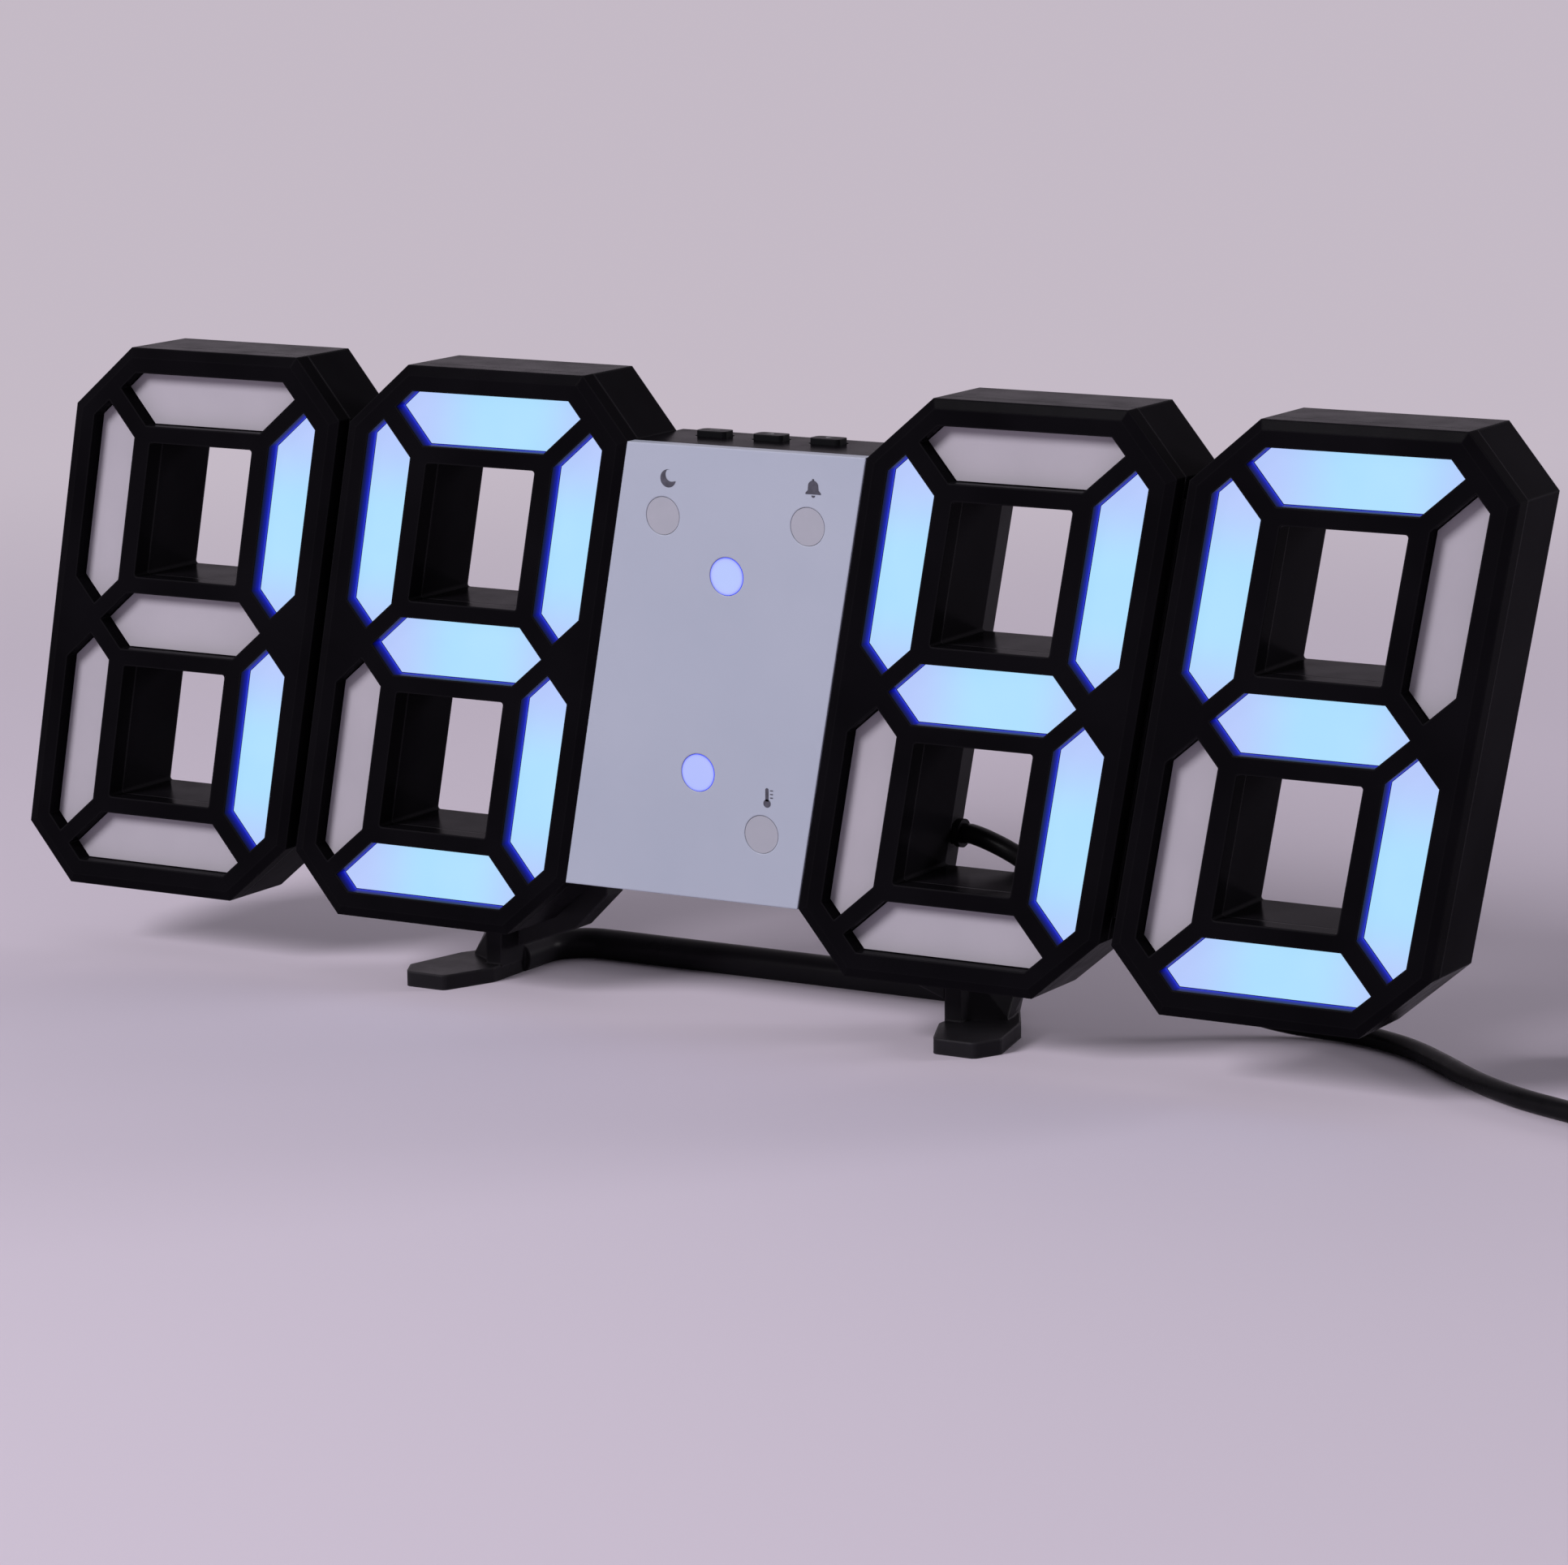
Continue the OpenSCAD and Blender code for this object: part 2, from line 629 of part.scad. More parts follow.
// Rear cover: hump with hanging hole, buzzer holes, screw sleeves and a cheek beside each stand leg
cover_spots = [for (u = [-cover_u, cover_u]) for (v = [-cover_v, cover_v]) lean([u, v])];
function guide(side, d) =
  let (slant = guide_cut + d * (sqrt(2) - 1), low = guide_low)
  let (
    pts = [
      [guide_in + slant, low + d], [guide_out - d, low + d - guide_fall], [guide_out - d, -hump_v - 3.6],
      [guide_out - 5, guide_high], [guide_in + d, guide_high], [guide_in + d, low + slant]
    ]
  )
  [for (p = pts) [stand_x + side * p[0], p[1]]];
module hang_form(r, d0, d1) {
  for (v = [hang_v, hang_v + hang_slot]) rod_y([0, v], r, d0, d1);
  translate([-r, d0, hang_v]) cube([2 * r, d1 - d0, hang_slot]);
}
module hump() {
  difference() {
    hull() {
      slab(leaned(box2(hump_u, hump_v)), body_d, back_d - hump_bevel);
      slab(leaned(box2(hump_u - hump_bevel, hump_v - hump_bevel)), body_d, back_d);
    }
    difference() {
      slab(leaned(box2(hump_u - hump_wall, hump_v - hump_wall)), body_d - 1, back_d - hump_wall);
      for (p = cover_spots) rod_y(p, sleeve_r, body_d - 2, back_d);
    }
  }
  difference() {
    hang_form(hang_r + hang_room + hang_wall, body_d + 0.2, back_d - hump_wall + 0.2);
    hang_form(hang_r + hang_room, body_d + 0.2 + hang_wall, back_d - hump_wall);
  }
  for (side = [-1, 1]) hull() {
    slab(guide(side, 0), body_d, back_d - guide_bevel);
    slab(guide(side, guide_bevel), body_d, back_d);
  }
}
module rear_cover() {
  color(black) at_body() difference() {
    hump();
    for (p = cover_spots) {
      rod_y(p, screw_r + 0.2, body_d - 1, back_d + 1);
      rod_y(p, head_r + head_room, cover_head_d, back_d + 1);
    }
    rod_y([0, hang_v], hang_r, back_d - hump_wall - 1, back_d + 1);
    rod_y([0, hang_v + hang_slot], hang_slot_r, back_d - hump_wall - 1, back_d + 1);
    translate([-hang_slot_r, back_d - hump_wall - 1, hang_v]) cube([2 * hang_slot_r, hump_d, hang_slot]);
    for (a = [0:60:300]) rod_y(lean(buzzer_at) + 2.6 * [cos(a), sin(a)], 0.6, body_d + 1, back_d + 1);
    rod_y(lean(buzzer_at), 0.6, body_d + 1, back_d + 1);
    translate([0, exit_d, exit_v]) rod_x(neck_r + 0.05, grommet_in - 2, grommet_out + 1);
  }
}

// Boards and what sits on them
module main_board() {
  color(green) at_body() {
    slab(leaned(box2(main_u, main_v)), main_d, main_back);
    slab(leaned([[-10, 5], [-3, 5], [-3, 12], [-10, 12]]), main_back - 0.2, main_back + 1.2);
  }
}
module led_boards() {
  color(green) for (i = [1:4]) at_digit(i) difference() {
    slab(outline(wall + board_gap), board_d, seat_d);
    for (s = [-1, 1]) slab(window(s, tunnel_wall + board_gap), board_d - 1, seat_d + 1);
    for (s = [-1, 1]) rod_y([s * boss_u, 0], boss_r + 0.35, board_d - 1, seat_d + 1);
  }
}
module leds() {
  color([0.95, 0.95, 0.85]) {
    for (i = [1:4]) at_digit(i) for (p = led_spots)
      translate([lean(p)[0] - 1, board_d - led_h, p[1] - 0.7]) cube([2, led_h, 1.4]);
    for (p = concat(colon_spots, mark_spots)) at_body()
      translate([lean(p)[0] - 1, main_d - led_h, p[1] - 0.7]) cube([2, led_h, 1.4]);
  }
}
module buzzer() {
  color(dark) at_body() difference() {
    rod_y(lean(buzzer_at), buzzer_r, main_back, main_back + buzzer_l);
    rod_y(lean(buzzer_at), 0.9, main_back + buzzer_l - 1, main_back + buzzer_l + 1);
  }
}
module backup_cell() {
  color(steel) at_body() rod_y(lean(cell_at), cell_r, main_back, main_back + cell_t);
}
module case_screws() {
  color(steel) {
    for (i = [1:4]) at_digit(i) for (s = [-1, 1]) screw([s * boss_u, 0], head_d);
    at_body() for (p = cover_spots) screw(p, cover_head_d);
  }
}

// Folding stand: bent rod, flat toes, hinge plates and a brace outside each plate
toe_plan = [
  [ear_u - 1.2, 24], [ear_u - 1.2, 11], [ear_u + 2.2, 3], [ear_u + 8.6, 3], [ear_u + 10.6, 7],
  [ear_u + 8.4, 17], [ear_u + 4, 25]
];
brace_foot = [[ear_u + 1, 14], [ear_u + 6.2, 17.2], [ear_u + 4, 24.8], [ear_u + 1, 24.8]];
brace_top = [[ear_u + 1, 15.6], [ear_u + 5.6, 23.4], [ear_u + 4.8, 24.4], [ear_u + 1, 24.4]];
brace_knee = 2.8;
plate_side = [
  [0.2, bar_h], [0.2, plate_top - 0.6], [0.2 - ear_r, hinge_h - 1], [0.2 - ear_r, hinge_h],
  [ear_r - 0.2, hinge_h], [ear_r - 0.2, plate_top + 1], [ear_r + 1.2, plate_top],
  [plate_l - 3.4, plate_top], [plate_l, plate_top - 3.6], [plate_l, bar_h]
];
rod_start = hinge_d + plate_l - 5;
module stand_half() {
  translate([0, bar_d, bar_h]) rod_x(bar_r, -0.5, ear_u - bend_r);
  translate([ear_u - bend_r, bar_d - bend_r, bar_h]) rotate_extrude(angle = 90)
    translate([bend_r, 0]) circle(r = bar_r);
  translate([ear_u, rod_start, bar_h]) rotate([-90, 0, 0])
    cylinder(h = bar_d - bend_r - rod_start, r = bar_r);
  linear_extrude(toe_t) polygon(rounded(toe_plan, 1.1));
  hull() {
    translate([0, 0, toe_t / 2]) linear_extrude(toe_t / 2 + 0.2) polygon(brace_foot);
    translate([0, 0, toe_t + brace_knee]) linear_extrude(plate_top - 0.2 - toe_t - brace_knee)
      polygon(brace_top);
  }
  difference() {
    translate([ear_u, hinge_d, 0]) {
      translate([0, 0, hinge_h]) rod_x(ear_r, -ear_t / 2, ear_t / 2);
      translate([-ear_t / 2, 0, 0]) rotate([90, 0, 90]) linear_extrude(ear_t) polygon(plate_side);
    }
    translate([ear_u, hinge_d, hinge_h]) rod_x(pin_r + pin_run, -ear_t, ear_t);
  }
}
module stand() {
  color(black) at_floor() translate([stand_x, 0, 0]) difference() {
    union() {
      stand_half();
      mirror([1, 0, 0]) stand_half();
    }
    translate([-ear_u * 2, -5, -5]) cube([ear_u * 4, bar_d * 2, 5]);
  }
}
module hinge_pins() {
  color(steel) at_floor() for (s = [-1, 1])
    translate([stand_x + s * ear_u, hinge_d, hinge_h]) rod_x(pin_r, -pin_l / 2, pin_l / 2);
}

// Power lead
module cord_grommet() {
  color(dark) at_floor() translate([0, exit_d, exit_h]) {
    rod_x(grommet_r, grommet_out, grommet_x);
    rod_x(neck_r, grommet_in - 0.4, grommet_out + 0.4);
    intersection() {
      rod_x(grommet_r, grommet_in - grommet_t, grommet_in);
      translate([grommet_in - 2 * grommet_t, grommet_flat - 3 * grommet_r, -grommet_r - 1])
        cube([4 * grommet_t, 3 * grommet_r, 2 * grommet_r + 2]);
    }
  }
}
module cord() {
  color(black) at_floor() tube(cord_route, cord_r, 8);
}
module cord_coil() {
  echo(coil_gap = coil_gap);
  color(black) at_floor() tube(coil_path, cord_r, 6);
}
module cord_tie() {
  lo = coil_least - cord_r - 0.4;
  hi = coil_r + cord_r + 0.2;
  top = coil_top + cord_r + 0.2;
  color(dark) at_floor() translate([coil_x, coil_d - tie_w / 2, 0]) difference() {
    translate([lo - tie_t, 0, 0]) cube([hi - lo + 2 * tie_t, tie_w, top + tie_t]);
    translate([lo, -1, tie_t]) cube([hi - lo, tie_w + 2, top - tie_t]);
  }
}
module usb_plug() {
  color(black) at_floor() translate([plug_x, plug_d, plug_z]) {
    translate([-plug_relief, 0, 0]) rotate([0, 90, 0]) cylinder(h = plug_relief, r1 = 2.6, r2 = 2);
    translate([-plug_relief - plug_l, 0, 0]) rotate([90, 0, 90])
      linear_extrude(plug_l + 0.5) polygon(rounded(box2(plug_w / 2, plug_h / 2), 1.6));
  }
}
module usb_shell() {
  tip = plug_x - plug_relief - plug_l - shell_l;
  bore = shell_w - 2 * shell_t;
  color(steel) at_floor() translate([tip, plug_d, plug_z]) difference() {
    translate([0, -shell_w / 2, -shell_h / 2]) cube([shell_l, shell_w, shell_h]);
    translate([-1, -bore / 2, 0]) cube([shell_l, bore, shell_h / 2 - shell_t]);
    for (s = [-1, 1]) translate([3, s * 3 - 1, 1]) cube([2, 2, shell_h]);
  }
}

digit_frame_1();
digit_frame_2();
digit_frame_3();
digit_frame_4();
digit_back_1();
digit_back_2();
digit_back_3();
digit_back_4();
segment_1a();
segment_1b();
segment_1c();
segment_1d();
segment_1e();
segment_1f();
segment_1g();
segment_2a();
segment_2b();
segment_2c();
segment_2d();
segment_2e();
segment_2f();
segment_2g();
segment_3a();
segment_3b();
segment_3c();
segment_3d();
segment_3e();
segment_3f();
segment_3g();
segment_4a();
segment_4b();
segment_4c();
segment_4d();
segment_4e();
segment_4f();
segment_4g();
centre_frame();
centre_panel();
colon_lenses();
indicator_lenses();
set_button();
up_button();
down_button();
button_switches();
rear_cover();
main_board();
led_boards();
leds();
buzzer();
backup_cell();
case_screws();
stand();
hinge_pins();
cord_grommet();
cord();
cord_coil();
cord_tie();
usb_plug();
usb_shell();
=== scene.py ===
import bpy
import bmesh
import math
from mathutils import Matrix, Vector


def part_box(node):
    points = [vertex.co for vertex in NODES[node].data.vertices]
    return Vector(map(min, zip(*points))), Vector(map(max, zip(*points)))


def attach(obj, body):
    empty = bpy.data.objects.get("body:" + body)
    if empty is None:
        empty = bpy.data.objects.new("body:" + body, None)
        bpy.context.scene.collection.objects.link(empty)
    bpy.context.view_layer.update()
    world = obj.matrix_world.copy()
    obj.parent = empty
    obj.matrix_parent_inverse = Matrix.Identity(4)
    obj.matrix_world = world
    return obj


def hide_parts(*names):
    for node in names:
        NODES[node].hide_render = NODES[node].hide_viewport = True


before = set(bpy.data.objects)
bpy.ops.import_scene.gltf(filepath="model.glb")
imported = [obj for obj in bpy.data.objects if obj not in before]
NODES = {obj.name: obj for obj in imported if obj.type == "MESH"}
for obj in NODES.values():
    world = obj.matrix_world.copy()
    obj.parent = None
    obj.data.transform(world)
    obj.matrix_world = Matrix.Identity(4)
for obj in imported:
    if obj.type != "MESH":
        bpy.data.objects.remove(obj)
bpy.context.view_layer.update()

# Sizes of the clock, in millimetres; depth is counted back from the digits' front face
FRONT_Y = -17.4
MID_Z = 50.0
LEAN = math.tan(math.radians(10))
DIGIT_X = (-89.6, -41.8, 41.8, 89.6)
DIGIT_W, DIGIT_H, CHAMFER = 46.0, 80.0, 8.6
BORDER, STROKE, MID_STROKE, MITRE_GAP = 3.6, 7.6, 8.4, 2.55
LENS_RECESS, LENS_CLEAR = 2.3, 0.12
PANEL_BACK = 0.3
DOT_R, COLON_V, MARK_U, MARK_V = 2.6, 13.8, 11.4, 21.5
CORD_D = 2.8

# Segments that are lit in each digit
SHOWN = {1: "bc", 2: "abcdfg", 3: "bcfg", 4: "acdfg"}

# Camera: angles in degrees, aim and sensor in millimetres, distance in metres, the rest in pixels
VIEW_TURN, VIEW_RISE, VIEW_ROLL = 30.219, 10.987, -0.426
VIEW_AIM = (11.109, 0.5, MID_Z - 13.965)
VIEW_DISTANCE = 0.7631
FRAME_WIDTH, FOCAL_PIXELS, SENSOR_WIDTH = 1932, 6900.86, 36


def at(x, depth, z):
    """A point of the clock, in metres in the shared frame."""
    return Vector((x, depth + FRONT_Y, z)) * 0.001


def body_at(u, depth, v):
    """The same for a point on the leaning body, from its middle."""
    return at(u + v * LEAN, depth, v + MID_Z)


def digit_shift(digit):
    """From the body's middle to a digit's middle, in metres."""
    return Vector((DIGIT_X[digit - 1] / 1000, 0, 0))


def place_camera():
    """Camera at the photograph's viewing angle."""
    turn, rise, roll = (math.radians(a) for a in (VIEW_TURN, VIEW_RISE, VIEW_ROLL))
    back = Vector((math.sin(turn) * math.cos(rise), -math.cos(turn) * math.cos(rise), math.sin(rise)))
    right = Vector((math.cos(turn), math.sin(turn), 0))
    up = right.cross(-back)
    across = right * math.cos(roll) + up * math.sin(roll)
    upward = up * math.cos(roll) - right * math.sin(roll)
    data = bpy.data.cameras.new("camera")
    data.sensor_fit = "HORIZONTAL"
    data.sensor_width = SENSOR_WIDTH
    data.lens = FOCAL_PIXELS * SENSOR_WIDTH / FRAME_WIDTH
    data.clip_start = 0.01
    camera = link_object("camera", data)
    place = Matrix((across, upward, back)).transposed().to_4x4()
    place.translation = at(*VIEW_AIM) + back * VIEW_DISTANCE
    camera.matrix_world = place
    bpy.context.scene.camera = camera


# Object and mesh helpers
def link_object(name, data):
    """A new object in the scene, at the origin."""
    made = bpy.data.objects.new(name, data)
    bpy.context.collection.objects.link(made)
    return made


def add_piece(mesh, material, body="case"):
    """A piece with one finish that rides a body and is named as its mesh."""
    mesh.materials.append(material)
    piece = link_object(mesh.name, mesh)
    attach(piece, body)
    return piece


def arc(x, z, r, a0, a1, n):
    """Points on an arc of n parts, angles in degrees."""
    angles = [math.radians(a0 + (a1 - a0) * i / n) for i in range(n + 1)]
    return [(x + r * math.cos(a), z + r * math.sin(a)) for a in angles]


def bar_outline(x0, z0, x1, z1):
    return [(x0, z0), (x1, z0), (x1, z1), (x0, z1)]


def mesh_from(name, points, faces, smooth=False):
    """A mesh from its points and faces."""
    mesh = bpy.data.meshes.new(name)
    mesh.from_pydata([tuple(p) for p in points], [], faces)
    if smooth:
        mesh.polygons.foreach_set("use_smooth", [True] * len(mesh.polygons))
    mesh.update()
    return mesh


def mesh_of(name, form):
    """A mesh from a form that was built up face by face."""
    mesh = bpy.data.meshes.new(name)
    form.to_mesh(mesh)
    form.free()
    return mesh


def tube(name, line, radius, sides):
    """A closed round tube along a line that never runs straight up."""
    angles = [2 * math.pi * j / sides for j in range(sides)]
    points, faces = [], []
    for i, p in enumerate(line):
        ahead = (line[min(i + 1, len(line) - 1)] - line[max(i - 1, 0)]).normalized()
        side = ahead.cross(Vector((0, 0, 1))).normalized()
        over = side.cross(ahead)
        points += [p + radius * (math.cos(a) * side + math.sin(a) * over) for a in angles]
    last = (len(line) - 1) * sides
    for ring in range(0, last, sides):
        for j in range(sides):
            k = (j + 1) % sides
            faces.append((ring + j, ring + sides + j, ring + sides + k, ring + k))
    faces.append(tuple(range(sides)))
    faces.append(tuple(reversed(range(last, last + sides))))
    return mesh_from(name, points, faces, smooth=True)


# Rows of one form along a line, made with Geometry Nodes
def form_node(tree, kind, **values):
    """A node with its sockets or settings given by name."""
    made = tree.nodes.new("GeometryNode" + kind)
    for key, value in values.items():
        socket = made.inputs.get(key.replace("_", " "))
        if socket:
            socket.default_value = value
        else:
            setattr(made, key, value)
    return made


def join(tree, pairs):
    """Links from outputs to sockets."""
    for output, socket in pairs:
        tree.links.new(output, socket)


def bar_form(tree, source):
    """A plain bar of the row's Size."""
    bar = form_node(tree, "MeshCube")
    join(tree, [(source.outputs["Size"], bar.inputs["Size"])])
    return bar.outputs["Mesh"]


def ring_form(tree, source):
    """A ring around the X axis, of the row's Radius and Thickness."""
    circle = form_node(tree, "CurvePrimitiveCircle", Resolution=28)
    profile = form_node(tree, "CurvePrimitiveCircle", Resolution=10)
    ring = form_node(tree, "CurveToMesh")
    turned = form_node(tree, "Transform", Rotation=(0, math.pi / 2, 0))
    join(tree, (
        (source.outputs["Radius"], circle.inputs["Radius"]),
        (source.outputs["Thickness"], profile.inputs["Radius"]),
        (circle.outputs["Curve"], ring.inputs["Curve"]),
        (profile.outputs["Curve"], ring.inputs["Profile Curve"]),
        (ring.outputs["Mesh"], turned.inputs["Geometry"]),
    ))
    return turned.outputs["Geometry"]


def make_row(name, form, sizes, count, start, step, material):
    """Copies of a form at evenly spaced points, as one piece of the case."""
    tree = bpy.data.node_groups.new(name, "GeometryNodeTree")
    tree.interface.new_socket("Geometry", in_out="OUTPUT", socket_type="NodeSocketGeometry")
    given = {"Count": ("Int", count), "Start": ("Vector", tuple(start)), "Step": ("Vector", step), **sizes}
    for label, (kind, _) in given.items():
        tree.interface.new_socket(label, in_out="INPUT", socket_type="NodeSocket" + kind)
    source, end = tree.nodes.new("NodeGroupInput"), tree.nodes.new("NodeGroupOutput")
    line = form_node(tree, "MeshLine", mode="OFFSET")
    copies = form_node(tree, "InstanceOnPoints")
    solid = form_node(tree, "RealizeInstances")
    dressed = form_node(tree, "SetMaterial", Material=material)
    join(tree, (
        (source.outputs["Count"], line.inputs["Count"]),
        (source.outputs["Start"], line.inputs["Start Location"]),
        (source.outputs["Step"], line.inputs["Offset"]),
        (line.outputs["Mesh"], copies.inputs["Points"]),
        (form(tree, source), copies.inputs["Instance"]),
        (copies.outputs["Instances"], solid.inputs["Geometry"]),
        (solid.outputs["Geometry"], dressed.inputs["Geometry"]),
        (dressed.outputs["Geometry"], end.inputs["Geometry"]),
    ))
    piece = link_object(name, bpy.data.meshes.new(name))
    row = piece.modifiers.new("row", "NODES")
    row.node_group = tree
    for item in tree.interface.items_tree:
        if item.in_out == "INPUT":
            row[item.identifier] = given[item.name][1]
    bpy.context.view_layer.update()
    mesh = bpy.data.meshes.new_from_object(piece.evaluated_get(bpy.context.evaluated_depsgraph_get()))
    piece.modifiers.clear()
    piece.data = mesh
    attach(piece, "case")
    return piece


def boxes(name, corners, material):
    """Plain boxes, each from its low and high corner, as one piece of the case."""
    sides = ((0, 1, 3, 2), (4, 6, 7, 5), (0, 4, 5, 1), (2, 3, 7, 6), (0, 2, 6, 4), (1, 5, 7, 3))
    points, faces = [], []
    for lo, hi in corners:
        n = len(points)
        points += [Vector((x, y, z)) for x in (lo.x, hi.x) for y in (lo.y, hi.y) for z in (lo.z, hi.z)]
        faces += [tuple(n + i for i in side) for side in sides]
    return add_piece(mesh_from(name, points, faces), material)


# Segment outlines, counter-clockwise from the front, grown by d
RING_U = DIGIT_W / 2 - BORDER
RING_V = DIGIT_H / 2 - BORDER
IN_U = RING_U - STROKE
IN_V = RING_V - STROKE
MID_V = MID_STROKE / 2
MID_U = (IN_U + RING_U) / 2
CUT = DIGIT_W / 2 + DIGIT_H / 2 - CHAMFER - BORDER * math.sqrt(2)
HALF_GAP = MITRE_GAP / math.sqrt(2)


def level_outline(d):
    """The top segment: mitred on the lines |u| = v - m, chamfered on |u| + v = s."""
    g = d * math.sqrt(2)
    m, s, lo, hi = IN_V - IN_U + HALF_GAP - g, CUT + g, IN_V - d, RING_V + d
    return [
        (m - lo, lo), (lo - m, lo), ((s - m) / 2, (s + m) / 2),
        (s - hi, hi), (hi - s, hi), ((m - s) / 2, (s + m) / 2),
    ]


def upright_outline(d):
    """The upper right segment: mitred above on v = u + n, pointed below, chamfered on u + v = s."""
    g = d * math.sqrt(2)
    n, s, lo, hi = IN_V - IN_U - HALF_GAP + g, CUT + g, IN_U - d, RING_U + d
    m = IN_U + MID_V + HALF_GAP - g
    return [
        (lo, m - lo), (MID_U, m - MID_U), (hi, m - 2 * MID_U + hi),
        (hi, s - hi), ((s - n) / 2, (s + n) / 2), (lo, lo + n),
    ]


def middle_outline(d):
    """The middle segment, pointed at both ends."""
    m, v = IN_U + MID_V - HALF_GAP + d * math.sqrt(2), MID_V + d
    return [(-m, 0), (v - m, -v), (m - v, -v), (m, 0), (m - v, v), (v - m, v)]


def segment_outline(letter, d):
    """One segment in its digit: a and d level, g in the middle, the others upright."""
    if letter == "g":
        return middle_outline(d)
    points = level_outline(d) if letter in "ad" else upright_outline(d)
    u = -1 if letter in "ef" else 1
    v = -1 if letter in "cde" else 1
    points = [(u * p[0], v * p[1]) for p in points]
    return points if u * v > 0 else points[::-1]


# Segments as (digit, letter) pairs
LIT = [(digit, letter) for digit, letters in SHOWN.items() for letter in letters]
UNLIT = [(digit, letter) for digit in SHOWN for letter in "abcdefg" if letter not in SHOWN[digit]]


# Shader helpers
def finish(name, **values):
    """A new material with its Principled shader's sockets set."""
    material = bpy.data.materials.new(name)
    material.use_nodes = True
    shader = material.node_tree.nodes["Principled BSDF"]
    for key, value in values.items():
        shader.inputs[key.replace("_", " ")].default_value = value
    return material, material.node_tree, shader


def node(tree, kind, links=(), **values):
    """A node with its sockets set by name and links made from (socket, output) pairs."""
    made = tree.nodes.new("ShaderNode" + kind)
    for key, value in values.items():
        if key in made.inputs:
            made.inputs[key].default_value = value
        else:
            setattr(made, key, value)
    for socket, output in links:
        tree.links.new(output, made.inputs[socket])
    return made


def ramp(tree, source, stops, mode="LINEAR"):
    """A colour that goes through (place, colour) stops."""
    made = node(tree, "ValToRGB", [("Fac", source)])
    made.color_ramp.interpolation = mode
    band = made.color_ramp.elements
    while len(band) < len(stops):
        band.new(0.5)
    for element, (place, colour) in zip(band, stops):
        element.position = place
        element.color = (*colour, 1)
    return made.outputs["Color"]


def drift(tree, source, low, high):
    """A slow change between two tones, most of it in the middle of a noise."""
    return ramp(tree, source, [(0.3, low), (0.7, high)])


def vary(tree, shader, socket, source, low, high):
    """A drift led into one of the shader's sockets."""
    tree.links.new(drift(tree, source, low, high), shader.inputs[socket])


def grey(value):
    return (value, value, value)


def scaled(tone, share):
    return tuple(c * share for c in tone)


def mixed(tree, share, a, b):
    """One colour output going over into another by a share."""
    mix = node(tree, "Mix", data_type="RGBA")
    for socket, output in ((0, share), (6, a), (7, b)):
        tree.links.new(output, mix.inputs[socket])
    return mix.outputs[2]


def multiply(tree, a, b):
    mix = node(tree, "Mix", data_type="RGBA", blend_type="MULTIPLY")
    mix.inputs[0].default_value = 1.0
    tree.links.new(a, mix.inputs[6])
    tree.links.new(b, mix.inputs[7])
    return mix.outputs[2]


def place_of(tree):
    return node(tree, "TexCoord").outputs["Object"]


def attribute(tree, name):
    return node(tree, "Attribute", attribute_name=name).outputs["Fac"]


def noise(tree, scale, detail=2.0, rough=0.5):
    made = node(tree, "TexNoise", [("Vector", place_of(tree))], Scale=scale, Detail=detail, Roughness=rough)
    return made.outputs["Fac"]


def surface(tree, shader, height, depth, strength, round_edges=0.0):
    """Bump from a height in metres, over edges rounded by a small radius."""
    bump = node(tree, "Bump", [("Height", height)], Strength=strength, Distance=depth)
    if round_edges:
        edge = node(tree, "Bevel", Radius=round_edges, samples=6)
        tree.links.new(edge.outputs["Normal"], bump.inputs["Normal"])
    tree.links.new(bump.outputs["Normal"], shader.inputs["Normal"])


# Finishes
def moulded_black(name, tone, rough, specular, edge=0.00035, edge_highlight_tone=(0.011, 0.0102, 0.012)):
    """Black moulded plastic: fine grain, faint tone drift and softly rounded edges, with a painted highlight
    along them.
    """
    material, tree, shader = finish(name, Specular_IOR_Level=specular)
    colour = drift(tree, noise(tree, 60, 3), scaled(tone, 0.8), scaled(tone, 1.25))
    round_normal = node(tree, "Bevel", Radius=edge, samples=8).outputs["Normal"]
    flat_normal = node(tree, "NewGeometry").outputs["Normal"]
    # The two normals part only beside an edge
    normals = [(0, round_normal), (1, flat_normal)]
    turn = node(tree, "VectorMath", normals, operation="DOT_PRODUCT").outputs["Value"]
    # Painted highlight: a lighter tone along the rounded edges, standing in for the gloss they would catch
    edge_highlight = ramp(tree, turn, [(0.84, grey(0.8)), (0.985, grey(0.25)), (0.998, grey(0))])
    mix = node(tree, "Mix", [(0, edge_highlight), (6, colour)], data_type="RGBA")
    mix.inputs[7].default_value = (*edge_highlight_tone, 1)
    tree.links.new(mix.outputs[2], shader.inputs["Base Color"])
    vary(tree, shader, "Roughness", noise(tree, 180, 4, 0.6), grey(rough - 0.05), grey(rough + 0.06))
    surface(tree, shader, noise(tree, 4200, 2, 0.6), depth=0.00001, strength=0.15, round_edges=edge)
    return material


def lens_unlit():
    """Frosted lens with its light off, with painted shade beside the walls of its opening."""
    material, tree, shader = finish("lens_unlit", Specular_IOR_Level=0.25, Roughness=0.5)
    rim = attribute(tree, "rim")
    # Painted shade: darker towards the rim, where the opening's walls shade the lens
    wall_shade = ramp(tree, rim, [(0.0, grey(0.2)), (0.1, grey(0.5)), (0.3, grey(0.88)), (0.6, grey(1))])
    cloud = drift(tree, noise(tree, 90, 3), (0.368, 0.342, 0.392), (0.394, 0.365, 0.418))
    tree.links.new(multiply(tree, wall_shade, cloud), shader.inputs["Base Color"])
    surface(tree, shader, noise(tree, 2600, 2), depth=0.00002, strength=0.2)
    return material


